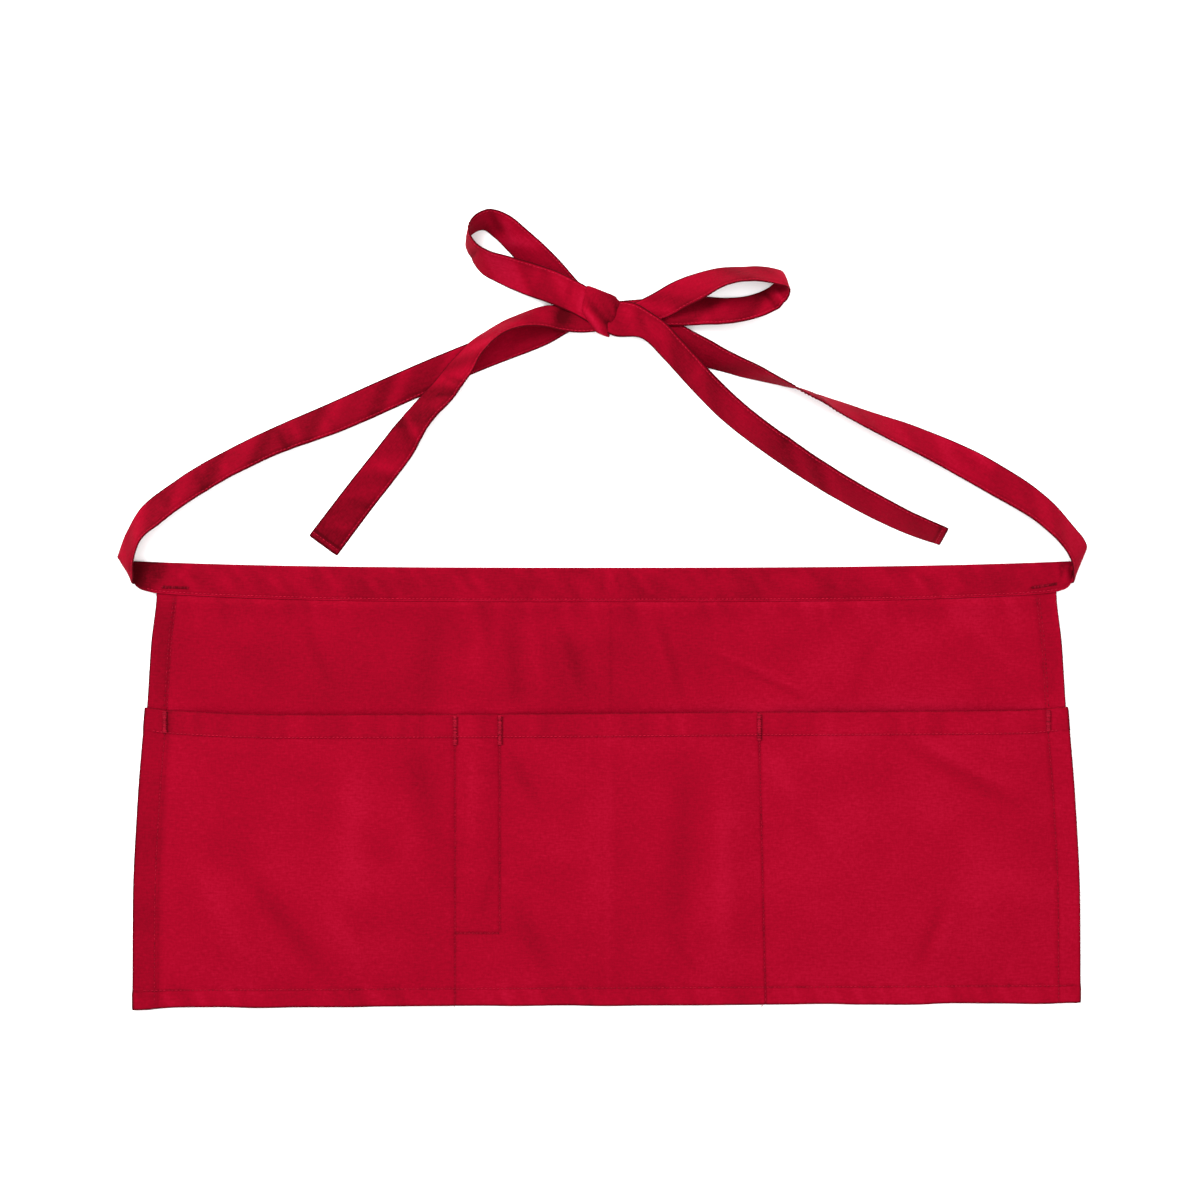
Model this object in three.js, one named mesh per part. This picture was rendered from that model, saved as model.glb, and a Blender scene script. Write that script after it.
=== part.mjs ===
import * as THREE from 'three';

// A waist apron lying flat with its ties in a bow, in millimetres.
// +X is to its right, +Y runs from the hem to the bow, and +Z is up.
// The origin is the middle of the waistband's back, on the surface that the apron lies on.

// Cloth
const CLEARANCE = 0.3;
const CLOTH_THICKNESS = 1.0;
const FOLDED_HEM_THICKNESS = 1.6;

// Panel
const TOP_WIDTH = 582;
const HEM_WIDTH = 610;
const APRON_DEPTH = 272;
const HEM_TILT = 1.6;
const SIDE_HEM_WIDTH = 12.5;
const BOTTOM_HEM_WIDTH = 11;
const HEM_STEP = 2;

// Pockets
const POCKET_DEPTH = 188.5;
const POCKET_OVERHANG = 1.5;
const MOUTH_HEM_WIDTH = 14;
const MOUTH_RISE_AT_SIDES = 3.6;
const PENCIL_SLOT_WIDTH = 29;
const PENCIL_SLOT_DEPTH = 142;
const PENCIL_SLOT_LEFT = -98;
const RIGHT_DIVIDER_AT_MOUTH = 98.5;
const RIGHT_DIVIDER_AT_HEM = 103;
const POCKET_BULGE = 6.4;
const PENCIL_SLOT_BULGE = 6;

// Waistband
const BAND_LENGTH = 608;
const BAND_WIDTH = 22;
const BAND_SHIFT = -2.5;
const BAND_END_RISE = 4.2;
const PANEL_TUCK = 14;
const PANEL_SETTLE = 10;

// Straps
const STRAP_WIDTH = 22;
const STRAP_THICKNESS = 1.4;
const KNOT_RISE = 176.5;
const KNOT_SHIFT = -2.3;
const LEFT_LOOP_REACH = 91;
const RIGHT_LOOP_REACH = 121;
const LEFT_TAIL_REACH = 236;
const RIGHT_TAIL_REACH = 265;
const KNOT_SLACK = 6;
const KNOT_TURN = -20;
const KNOT_ROUNDING = 0.6;

// Steps of the meshes
const STRAP_STEP = 8;
const BAND_STEPS = 20;
const FOLD_STEPS = 4;
const PANEL_STEPS = 24;
const PANEL_ROWS = 9;
const POCKET_ROWS = 9;
const KNOT_CORNER_STEPS = 3;

const STRAP_LAYER = STRAP_THICKNESS + CLEARANCE;
const BAND_SLOT = Math.max(CLOTH_THICKNESS, STRAP_THICKNESS) + 2 * CLEARANCE;
const BAND_SLOT_BASE = CLOTH_THICKNESS + CLEARANCE;
const BAND_HEIGHT = 2 * CLOTH_THICKNESS + BAND_SLOT;

// The panel's side edges: the share of the flare that is reached at a share of the way down.
const FLARE = [
  { down: 0, reached: 0 },
  { down: 0.1, reached: 0.22 },
  { down: 0.25, reached: 0.4 },
  { down: 0.5, reached: 0.77 },
  { down: 0.75, reached: 0.98 },
  { down: 1, reached: 1 },
];

// The pockets' mouth: its rise in shares of the rise at the sides.
const MOUTH = [
  { across: -1, rise: 1 },
  { across: -0.94, rise: 0.4 },
  { across: -0.7, rise: -0.35 },
  { across: -0.25, rise: -0.25 },
  { across: 0.3, rise: 0.1 },
  { across: 0.9, rise: 0.45 },
  { across: 1, rise: 1.1 },
];

// The runs of the straps. Each row is one crosswise line of the strap: the place of its middle as shares
// of the sizes that its run follows, the height of its lower edge in strap layers, the direction in plan
// that it points in and how far it leans over, both in degrees, and its width as a share of the strap's.

// Ties, from the waistband's end (out 1, up 0) to the knot (out 0, up 1).
const LEFT_TIE = [
  { out: 1.004, up: 0.032, layer: 0.7, facing: 272, lean: 2, spread: 0.95 },
  { out: 1.016, up: 0.062, layer: 0.3, facing: 298, lean: 26, spread: 1 },
  { out: 1.012, up: 0.105, layer: 0, facing: 338, lean: 52, spread: 0.9 },
  { out: 0.996, up: 0.18, layer: 0, facing: 334, lean: 54, spread: 0.9 },
  { out: 0.96, up: 0.255, layer: 0, facing: 320, lean: 36, spread: 0.94 },
  { out: 0.9, up: 0.335, layer: 0, facing: 302, lean: 28, spread: 0.86 },
  { out: 0.73, up: 0.5, layer: 0, facing: 298, lean: 24, spread: 0.84 },
  { out: 0.56, up: 0.62, layer: 0, facing: 294, lean: 16, spread: 0.94 },
  { out: 0.43, up: 0.72, layer: 0, facing: 294, lean: 2, spread: 0.9 },
  { out: 0.33, up: 0.795, layer: 0, facing: 293, lean: 0, spread: 0.88 },
  { out: 0.22, up: 0.87, layer: 0.3, facing: 291, lean: 0, spread: 0.86 },
  { out: 0.13, up: 0.925, layer: 1.3, facing: 290, lean: 0, spread: 0.78 },
];
const RIGHT_TIE = [
  { out: 1.004, up: 0.03, layer: 0.7, facing: 268, lean: 2, spread: 0.95 },
  { out: 1.012, up: 0.055, layer: 0.3, facing: 238, lean: 26, spread: 1 },
  { out: 1.012, up: 0.105, layer: 0, facing: 196, lean: 54, spread: 0.9 },
  { out: 0.988, up: 0.18, layer: 0, facing: 220, lean: 44, spread: 0.94 },
  { out: 0.95, up: 0.25, layer: 0, facing: 232, lean: 36, spread: 0.94 },
  { out: 0.825, up: 0.395, layer: 0, facing: 241, lean: 16, spread: 0.94 },
  { out: 0.655, up: 0.54, layer: 0, facing: 247, lean: 40, spread: 0.95 },
  { out: 0.57, up: 0.6, layer: 0, facing: 250, lean: 56, spread: 0.96 },
  { out: 0.425, up: 0.71, layer: 0, facing: 248, lean: 86, spread: 0.96 },
  { out: 0.34, up: 0.765, layer: 0, facing: 244, lean: 110, spread: 0.95 },
  { out: 0.24, up: 0.83, layer: 0, facing: 243, lean: 136, spread: 0.93 },
  { out: 0.185, up: 0.875, layer: 0.1, facing: 237, lean: 164, spread: 0.85 },
  { out: 0.13, up: 0.93, layer: 0.7, facing: 236, lean: 178, spread: 0.78 },
];

// Passes through the knot, in strap widths from its middle.
const LEFT_TIE_PASS = [
  { out: -0.85, up: -0.23, layer: 2, facing: 287, lean: 0, spread: 0.56 },
  { out: 0, up: -0.06, layer: 2, facing: 283, lean: 0, spread: 0.58 },
  { out: 0.9, up: 0.03, layer: 2, facing: 275, lean: 0, spread: 0.62 },
];
const LEFT_TAIL_PASS = [
  { out: 0.85, up: -0.08, layer: 3, facing: 290, lean: 0, spread: 0.6 },
  { out: 0, up: -0.15, layer: 3, facing: 281, lean: 0, spread: 0.52 },
  { out: -0.8, up: -0.25, layer: 3, facing: 281, lean: 0, spread: 0.5 },
];
const RIGHT_TIE_PASS = [
  { out: 0.9, up: -0.2, layer: 1, facing: 238, lean: 180, spread: 0.62 },
  { out: 0, up: 0.03, layer: 1, facing: 240, lean: 180, spread: 0.55 },
  { out: -0.75, up: 0.5, layer: 1, facing: 232, lean: 180, spread: 0.6 },
];
const RIGHT_TAIL_PASS = [
  { out: -0.68, up: 0.34, layer: 4, facing: 249, lean: 180, spread: 0.88 },
  { out: 0, up: -0.06, layer: 4, facing: 247, lean: 180, spread: 0.84 },
  { out: 0.65, up: -0.18, layer: 4, facing: 243, lean: 180, spread: 0.8 },
];

// Bow loops, in shares of each loop's reach from the knot.
const RIGHT_LOOP = [
  { out: 0.31, up: 0, layer: 1.9, facing: 271, lean: 0, spread: 0.8 },
  { out: 0.52, up: 0.005, layer: 0.4, facing: 270, lean: 18, spread: 0.88 },
  { out: 0.73, up: 0.01, layer: 0, facing: 268, lean: 36, spread: 0.92 },
  { out: 0.86, up: 0.045, layer: 0, facing: 292, lean: 42, spread: 0.95 },
  { out: 0.95, up: 0.105, layer: 0, facing: 295, lean: 46, spread: 0.95 },
  { out: 0.985, up: 0.165, layer: 0, facing: 283, lean: 57, spread: 0.95 },
  { out: 0.92, up: 0.188, layer: 0, facing: 273, lean: 58, spread: 0.95 },
  { out: 0.75, up: 0.2, layer: 0, facing: 270, lean: 60, spread: 0.95 },
  { out: 0.62, up: 0.18, layer: 0, facing: 280, lean: 50, spread: 0.95 },
  { out: 0.52, up: 0.14, layer: 0.5, facing: 293, lean: 34, spread: 0.94 },
  { out: 0.41, up: 0.09, layer: 2, facing: 298, lean: 16, spread: 0.88 },
  { out: 0.3, up: 0.03, layer: 3, facing: 299, lean: 3, spread: 0.8 },
];
const LEFT_LOOP = [
  { out: 0.38, up: 0.29, layer: 0.6, facing: 228, lean: 172, spread: 0.85 },
  { out: 0.6, up: 0.495, layer: 0, facing: 224, lean: 147, spread: 0.97 },
  { out: 0.73, up: 0.61, layer: 0, facing: 231, lean: 140, spread: 0.97 },
  { out: 0.83, up: 0.65, layer: 0, facing: 256, lean: 126, spread: 0.97 },
  { out: 0.92, up: 0.61, layer: 0, facing: 265, lean: 116, spread: 0.97 },
  { out: 0.965, up: 0.52, layer: 0, facing: 248, lean: 111, spread: 0.95 },
  { out: 0.92, up: 0.43, layer: 0, facing: 241, lean: 114, spread: 0.95 },
  { out: 0.85, up: 0.355, layer: 0, facing: 250, lean: 130, spread: 0.97 },
  { out: 0.72, up: 0.3, layer: 0.2, facing: 247, lean: 144, spread: 0.97 },
  { out: 0.55, up: 0.24, layer: 1.6, facing: 250, lean: 162, spread: 0.97 },
  { out: 0.33, up: 0.16, layer: 4, facing: 250, lean: 178, spread: 0.93 },
];

// Tails, in shares of each tail's reach from the knot.
const LEFT_TAIL = [
  { out: 0.14, up: -0.015, layer: 2.9, facing: 277, lean: 28, spread: 0.8 },
  { out: 0.25, up: -0.033, layer: 2.3, facing: 290, lean: 62, spread: 0.75 },
  { out: 0.31, up: -0.066, layer: 1.9, facing: 303, lean: 60, spread: 0.75 },
  { out: 0.35, up: -0.102, layer: 1.6, facing: 318, lean: 48, spread: 0.78 },
  { out: 0.39, up: -0.155, layer: 1.4, facing: 323, lean: 36, spread: 0.86 },
  { out: 0.44, up: -0.22, layer: 1.3, facing: 322, lean: 32, spread: 0.9 },
  { out: 0.5, up: -0.285, layer: 0.9, facing: 322, lean: 34, spread: 0.92 },
  { out: 0.56, up: -0.37, layer: 0, facing: 320, lean: 10, spread: 0.97 },
  { out: 0.665, up: -0.505, layer: 0, facing: 321, lean: 0, spread: 0.98 },
  { out: 0.767, up: -0.64, layer: 0, facing: 324, lean: 0, spread: 1 },
];
const RIGHT_TAIL = [
  { out: 0.115, up: -0.04, layer: 4.1, facing: 234, lean: 174, spread: 0.76 },
  { out: 0.17, up: -0.093, layer: 3.1, facing: 226, lean: 160, spread: 0.8 },
  { out: 0.227, up: -0.156, layer: 1.6, facing: 225, lean: 145, spread: 0.9 },
  { out: 0.3, up: -0.23, layer: 0.2, facing: 228, lean: 142, spread: 0.95 },
  { out: 0.46, up: -0.352, layer: 0, facing: 235, lean: 139, spread: 0.97 },
  { out: 0.66, up: -0.474, layer: 0, facing: 241, lean: 134, spread: 0.97 },
  { out: 0.76, up: -0.523, layer: 0, facing: 244, lean: 128, spread: 0.97 },
  { out: 0.83, up: -0.55, layer: 0, facing: 246, lean: 122, spread: 0.97 },
];

// A smooth curve through values at given knots. A limited curve never swings past its values.
function curveThrough(knots, values, limited) {
  const rate = (i) => (values[i + 1] - values[i]) / (knots[i + 1] - knots[i]);
  const last = values.length - 1;
  const slopes = values.map((value, i) => {
    if (i === 0) return rate(0);
    if (i === last) return rate(last - 1);
    const before = rate(i - 1);
    const after = rate(i);
    if (limited) return before * after <= 0 ? 0 : (2 * before * after) / (before + after);
    const share = (knots[i] - knots[i - 1]) / (knots[i + 1] - knots[i - 1]);
    return before * (1 - share) + after * share;
  });
  return (at) => {
    let i = 0;
    while (i < last - 1 && at > knots[i + 1]) i += 1;
    const span = knots[i + 1] - knots[i];
    const t = (at - knots[i]) / span;
    const start = (1 + 2 * t) * (1 - t) ** 2 * values[i] + t * (1 - t) ** 2 * span * slopes[i];
    const end = t * t * (3 - 2 * t) * values[i + 1] + t * t * (t - 1) * span * slopes[i + 1];
    return start + end;
  };
}

function column(rows, key, name) {
  return curveThrough(rows.map((row) => row[key]), rows.map((row) => row[name]), true);
}

const flareReached = column(FLARE, 'down', 'reached');
const mouthRise = column(MOUTH, 'across', 'rise');

// A closed body lofted through strips of cloth. Each section has as many lower points as upper points.
function loft(sections, closed = false) {
  const rings = sections.map(({ lower, upper }) => [...lower, ...[...upper].reverse()]);
  const size = rings[0].length;
  const triangles = [];
  const quad = (a, b, c, d) => triangles.push(a, b, c, a, c, d);
  const joints = closed ? rings.length : rings.length - 1;
  for (let i = 0; i < joints; i += 1) {
    const here = i * size;
    const next = ((i + 1) % rings.length) * size;
    for (let j = 0; j < size; j += 1) {
      const k = (j + 1) % size;
      quad(here + j, next + j, next + k, here + k);
    }
  }
  if (!closed) {
    const last = (rings.length - 1) * size;
    for (let j = 0; j + 1 < size / 2; j += 1) {
      quad(j, j + 1, size - 2 - j, size - 1 - j);
      quad(last + j, last + size - 1 - j, last + size - 2 - j, last + j + 1);
    }
  }
  const points = rings.flat();
  if (signedVolume(points, triangles) < 0) triangles.reverse();
  const geometry = new THREE.BufferGeometry().setFromPoints(points);
  geometry.setIndex(triangles);
  geometry.computeVertexNormals();
  return geometry;
}

function signedVolume(points, triangles) {
  let volume = 0;
  for (let i = 0; i < triangles.length; i += 3) {
    const [a, b, c] = [0, 1, 2].map((step) => points[triangles[i + step]]);
    volume += a.dot(new THREE.Vector3().crossVectors(b, c)) / 6;
  }
  return volume;
}

// Even steps between each pair of stops, with one count for each pair.
function steps(stops, counts) {
  const places = [stops[0]];
  counts.forEach((count, i) => {
    for (let j = 1; j <= count; j += 1) places.push(THREE.MathUtils.lerp(stops[i], stops[i + 1], j / count));
  });
  return places;
}

// The middle line of the waistband, which rises towards its ends.
function bandMiddle(x) {
  return BAND_END_RISE * Math.abs((x - BAND_SHIFT) / (BAND_LENGTH / 2)) ** 3;
}

function hemLine(x) {
  return -APRON_DEPTH + (HEM_TILT * x) / (HEM_WIDTH / 2);
}

function halfWidth(y) {
  const down = THREE.MathUtils.clamp((-BAND_WIDTH / 2 - y) / (APRON_DEPTH - BAND_WIDTH / 2), 0, 1);
  return (TOP_WIDTH + (HEM_WIDTH - TOP_WIDTH) * flareReached(down)) / 2;
}

function apronPanel() {
  const stops = [-1, 1].flatMap((side) => {
    const inner = [0, SIDE_HEM_WIDTH, SIDE_HEM_WIDTH + HEM_STEP].map((inset) => ({ side, inset }));
    return side < 0 ? inner : inner.reverse();
  });
  const edge = ({ side, inset }, y) => side * (halfWidth(y) - inset);
  const sections = steps([0, 1, 2, 3, 4, 5], [1, 1, PANEL_STEPS, 1, 1]).map((place) => {
    const i = Math.min(Math.floor(place), stops.length - 2);
    const acrossAt = (y) => THREE.MathUtils.lerp(edge(stops[i], y), edge(stops[i + 1], y), place - i);
    const isHem = place <= 1 || place >= stops.length - 2;
    const bandEdge = bandMiddle(acrossAt(0)) - BAND_WIDTH / 2;
    const hem = hemLine(acrossAt(-APRON_DEPTH));
    const settled = bandEdge - PANEL_SETTLE;
    const rows = steps([bandEdge + PANEL_TUCK, bandEdge, settled, hem], [1, 3, PANEL_ROWS]);
    const lower = [];
    const upper = [];
    rows.forEach((y) => {
      const drop = THREE.MathUtils.smoothstep(y, settled, bandEdge);
      const x = acrossAt(y);
      const base = BAND_SLOT_BASE * drop;
      const thickness = isHem && y <= settled ? FOLDED_HEM_THICKNESS : CLOTH_THICKNESS;
      lower.push(new THREE.Vector3(x, y, base));
      upper.push(new THREE.Vector3(x, y, base + thickness));
    });
    return { lower, upper };
  });
  return loft(sections);
}

// The pockets' seams from left to right, each as its place at the mouth and at the hem.
function pocketSeams() {
  const sideEdge = (side, y) => side * (halfWidth(y) + POCKET_OVERHANG);
  const sideSeam = (side, y) => side * (halfWidth(y) - SIDE_HEM_WIDTH);
  const slotRight = PENCIL_SLOT_LEFT + PENCIL_SLOT_WIDTH;
  const down = (y) => THREE.MathUtils.clamp((y + APRON_DEPTH) / POCKET_DEPTH, 0, 1);
  return [
    (y) => sideEdge(-1, y),
    (y) => sideSeam(-1, y),
    () => PENCIL_SLOT_LEFT,
    () => slotRight,
    (y) => THREE.MathUtils.lerp(RIGHT_DIVIDER_AT_HEM, RIGHT_DIVIDER_AT_MOUTH, down(y)),
    (y) => sideSeam(1, y),
    (y) => sideEdge(1, y),
  ];
}

// How far a pocket's cloth stands off the panel, at shares of its width and its depth.
function pocketBulge(across, down, height) {
  if (down >= 1) return 0;
  const atMouth = 0.88;
  const fullAt = 0.2;
  const fullness = 0.7;
  const mouthShare = atMouth + (1 - atMouth) * THREE.MathUtils.smoothstep(down, 0, fullAt);
  return height * Math.sin(Math.PI * across) ** fullness * (1 - down ** 3) * mouthShare;
}

function pocketPanel() {
  const seams = pocketSeams();
  const columns = [1, 10, 4, 10, 10, 1];
  const slot = 2;
  const mouthLine = -APRON_DEPTH + POCKET_DEPTH;
  const places = steps(seams.map((seam, i) => i), columns);
  const sections = places.map((place) => {
    const i = Math.min(Math.floor(place), columns.length - 1);
    const share = place - i;
    const acrossAt = (y) => THREE.MathUtils.lerp(seams[i](y), seams[i + 1](y), share);
    const mouthAcross = acrossAt(mouthLine) / seams[columns.length](mouthLine);
    const mouth = mouthLine + MOUTH_RISE_AT_SIDES * mouthRise(mouthAcross);
    const hem = hemLine(acrossAt(-APRON_DEPTH));
    const hemSeam = hem + BOTTOM_HEM_WIDTH;
    const slotBottom = mouthLine - PENCIL_SLOT_DEPTH;
    const rows = steps([mouth, mouth - MOUTH_HEM_WIDTH, slotBottom, hemSeam, hem], [2, POCKET_ROWS, 3, 1]);
    const isSide = place <= 1 || place >= columns.length - 1;
    const bottom = i === slot ? slotBottom : hemSeam;
    const height = i === slot ? PENCIL_SLOT_BULGE : POCKET_BULGE;
    const lower = [];
    const upper = [];
    rows.forEach((y) => {
      const under = isSide ? FOLDED_HEM_THICKNESS : CLOTH_THICKNESS;
      const bulge = isSide ? 0 : pocketBulge(share, (mouth - y) / (mouth - bottom), height);
      const base = under + CLEARANCE + bulge;
      const isHem = y >= mouth - MOUTH_HEM_WIDTH || y <= hemSeam;
      const x = acrossAt(y);
      lower.push(new THREE.Vector3(x, y, base));
      upper.push(new THREE.Vector3(x, y, base + (isHem ? FOLDED_HEM_THICKNESS : CLOTH_THICKNESS)));
    });
    return { lower, upper };
  });
  return loft(sections);
}

// The waistband is folded over the panel's top edge: two leaves joined along the top.
function waistband() {
  const half = BAND_WIDTH / 2;
  const round = BAND_HEIGHT / 2;
  const innerRound = round - CLOTH_THICKNESS;
  const sections = steps([-1, 1], [BAND_STEPS]).map((share) => {
    const x = BAND_SHIFT + (share * BAND_LENGTH) / 2;
    const middle = bandMiddle(x);
    const onLeaf = (z) => new THREE.Vector3(x, middle - half, z);
    const onFold = (angle, radius) => {
      const y = middle + half - round + radius * Math.cos(angle);
      return new THREE.Vector3(x, y, round + radius * Math.sin(angle));
    };
    const angles = steps([-Math.PI / 2, Math.PI / 2], [FOLD_STEPS]);
    const outer = angles.map((angle) => onFold(angle, round));
    const inner = angles.map((angle) => onFold(angle, innerRound));
    return {
      lower: [onLeaf(0), ...outer, onLeaf(BAND_HEIGHT)],
      upper: [onLeaf(CLOTH_THICKNESS), ...inner, onLeaf(BAND_HEIGHT - CLOTH_THICKNESS)],
    };
  });
  return loft(sections);
}

const knotCentre = new THREE.Vector2(KNOT_SHIFT, KNOT_RISE);

function bandEnd(side) {
  return BAND_SHIFT + (side * BAND_LENGTH) / 2;
}

// Turns the shares of a run's rows into places, heights, directions in radians and widths.
function placed(rows, across, upward) {
  return rows.map((row) => ({
    x: across(row.out),
    y: upward(row.up),
    lift: row.layer * STRAP_LAYER,
    facing: THREE.MathUtils.degToRad(row.facing),
    lean: THREE.MathUtils.degToRad(row.lean),
    width: row.spread * STRAP_WIDTH,
  }));
}

function tieRun(side, rows) {
  const across = (out) => THREE.MathUtils.lerp(KNOT_SHIFT, bandEnd(side), out);
  return placed(rows, across, (up) => up * KNOT_RISE);
}

function fromKnot(side, reach, rows) {
  return placed(rows, (out) => knotCentre.x + side * out * reach, (up) => knotCentre.y + up * reach);
}

// The strap's end between the waistband's leaves, up to the panel's side edge.
function tuckedEnd(side) {
  const panelEdge = side * (TOP_WIDTH / 2 + 4 * CLEARANCE);
  const width = BAND_WIDTH - CLOTH_THICKNESS - 3 * CLEARANCE;
  return [panelEdge, bandEnd(side)].map((x) => ({
    x,
    y: bandMiddle(x) - (CLOTH_THICKNESS + 2 * CLEARANCE) / 2,
    lift: BAND_SLOT_BASE,
    facing: THREE.MathUtils.degToRad(270),
    lean: 0,
    width,
  }));
}

// A strap swept through its rows: each section is a straight line across it, with the strap's thickness.
function strap(rows) {
  const knots = [0];
  for (let i = 1; i < rows.length; i += 1) {
    const here = rows[i];
    const before = rows[i - 1];
    knots.push(knots[i - 1] + Math.hypot(here.x - before.x, here.y - before.y, here.lift - before.lift));
  }
  const read = {};
  Object.keys(rows[0]).forEach((name) => {
    const isPlace = name === 'x' || name === 'y';
    read[name] = curveThrough(knots, rows.map((row) => row[name]), !isPlace);
  });
  const ruling = (at) => {
    const lean = read.lean(at);
    const facing = read.facing(at);
    const flat = Math.cos(lean);
    return new THREE.Vector3(flat * Math.cos(facing), flat * Math.sin(facing), Math.sin(lean));
  };
  const middle = (at) => {
    const lean = read.lean(at);
    const upright = (read.width(at) / 2) * Math.abs(Math.sin(lean));
    const height = read.lift(at) + upright + (STRAP_THICKNESS / 2) * Math.abs(Math.cos(lean));
    return new THREE.Vector3(read.x(at), read.y(at), height);
  };
  const counts = rows.slice(1).map((row, i) => Math.max(2, Math.ceil((knots[i + 1] - knots[i]) / STRAP_STEP)));
  const end = knots[knots.length - 1];
  const sections = steps(knots, counts).map((at) => {
    const reach = 0.5;
    const run = middle(Math.min(at + reach, end)).sub(middle(Math.max(at - reach, 0)));
    const across = ruling(at);
    const normal = new THREE.Vector3().crossVectors(across, run).setLength(STRAP_THICKNESS / 2);
    const point = (side, face) => middle(at)
      .addScaledVector(across, (side * read.width(at)) / 2)
      .addScaledVector(normal, face);
    return { lower: [point(-1, -1), point(1, -1)], upper: [point(-1, 1), point(1, 1)] };
  });
  return loft(sections);
}

// From the waistband's left end through the knot, round the right loop, back through it to the left tail.
function leftStrap() {
  return strap([
    ...tuckedEnd(-1),
    ...tieRun(-1, LEFT_TIE),
    ...fromKnot(1, STRAP_WIDTH, LEFT_TIE_PASS),
    ...fromKnot(1, RIGHT_LOOP_REACH, RIGHT_LOOP),
    ...fromKnot(1, STRAP_WIDTH, LEFT_TAIL_PASS),
    ...fromKnot(-1, LEFT_TAIL_REACH, LEFT_TAIL),
  ]);
}

// From the waistband's right end through the knot, round the left loop, back through it to the right tail.
function rightStrap() {
  return strap([
    ...tuckedEnd(1),
    ...tieRun(1, RIGHT_TIE),
    ...fromKnot(1, STRAP_WIDTH, RIGHT_TIE_PASS),
    ...fromKnot(-1, LEFT_LOOP_REACH, LEFT_LOOP),
    ...fromKnot(1, STRAP_WIDTH, RIGHT_TAIL_PASS),
    ...fromKnot(1, RIGHT_TAIL_REACH, RIGHT_TAIL),
  ]);
}

// The turn of strap round the four passes of the knot: a flattened ring, one strap wide.
function knotWrap() {
  const passes = [LEFT_TIE_PASS, LEFT_TAIL_PASS, RIGHT_TIE_PASS, RIGHT_TAIL_PASS];
  const widestPass = Math.max(...passes.flat().map((row) => row.spread));
  const halfAcross = (widestPass * STRAP_WIDTH) / 2 + KNOT_SLACK;
  const halfHeight = (passes.length * STRAP_LAYER + CLEARANCE) / 2;
  const corner = halfHeight * KNOT_ROUNDING;
  const centreHeight = STRAP_THICKNESS + halfHeight;
  const turn = THREE.MathUtils.degToRad(KNOT_TURN);
  const along = new THREE.Vector3(Math.cos(turn), Math.sin(turn), 0);
  const across = new THREE.Vector3(-Math.sin(turn), Math.cos(turn), 0);
  const centre = new THREE.Vector3(knotCentre.x, knotCentre.y, centreHeight);
  const sections = [];
  [[1, 1], [-1, 1], [-1, -1], [1, -1]].forEach(([sideways, upward], quarter) => {
    for (let i = 0; i <= KNOT_CORNER_STEPS; i += 1) {
      const angle = (Math.PI / 2) * (quarter + i / KNOT_CORNER_STEPS);
      const point = (end, radius) => centre.clone()
        .addScaledVector(along, end)
        .addScaledVector(across, sideways * (halfAcross - corner) + radius * Math.cos(angle))
        .add(new THREE.Vector3(0, 0, upward * (halfHeight - corner) + radius * Math.sin(angle)));
      const ends = [-STRAP_WIDTH / 2, STRAP_WIDTH / 2];
      sections.push({
        lower: ends.map((end) => point(end, corner)),
        upper: ends.map((end) => point(end, corner + STRAP_THICKNESS)),
      });
    }
  });
  return loft(sections, true);
}

const RED = 0xb01028;

function piece(name, geometry) {
  const material = new THREE.MeshStandardMaterial({ color: RED, roughness: 0.9, metalness: 0 });
  const mesh = new THREE.Mesh(geometry, material);
  mesh.name = name;
  return mesh;
}

const apron = new THREE.Group();
apron.add(piece('apron_panel', apronPanel()));
apron.add(piece('pocket_panel', pocketPanel()));
apron.add(piece('waistband', waistband()));
apron.add(piece('tie_left', leftStrap()));
apron.add(piece('tie_right', rightStrap()));
apron.add(piece('knot_wrap', knotWrap()));

export default apron;
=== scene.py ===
from math import cos, pi, radians, sin

import bmesh
import bpy
import numpy as np
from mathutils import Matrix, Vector


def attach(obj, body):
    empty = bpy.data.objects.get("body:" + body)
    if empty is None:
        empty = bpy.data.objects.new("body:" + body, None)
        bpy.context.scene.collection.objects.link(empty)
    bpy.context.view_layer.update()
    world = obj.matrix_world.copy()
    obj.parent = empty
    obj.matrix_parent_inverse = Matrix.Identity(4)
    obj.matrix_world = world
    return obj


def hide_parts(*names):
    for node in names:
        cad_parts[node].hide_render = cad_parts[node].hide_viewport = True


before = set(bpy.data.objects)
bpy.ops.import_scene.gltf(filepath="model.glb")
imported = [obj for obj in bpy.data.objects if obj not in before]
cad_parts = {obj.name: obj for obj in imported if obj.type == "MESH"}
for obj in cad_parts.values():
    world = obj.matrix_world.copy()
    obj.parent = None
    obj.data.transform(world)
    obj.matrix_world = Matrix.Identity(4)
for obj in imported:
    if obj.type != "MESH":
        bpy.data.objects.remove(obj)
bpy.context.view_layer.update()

MM = 0.001
UP = (0.0, 0.0, 1.0)

# Panel
TOP_WIDTH = 582 * MM
HEM_WIDTH = 610 * MM
APRON_DEPTH = 272 * MM
HEM_TILT = 1.6 * MM
SIDE_HEM_WIDTH = 12.5 * MM
BOTTOM_HEM_WIDTH = 11 * MM
CLOTH = 0.7 * MM
HEM_CLOTH = 1.3 * MM
HEM_STEP = 0.8 * MM
REST = 0.05 * MM
CREASE_X = 1.5 * MM
DEEPEST_DENT = 0.4 * MM

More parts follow.
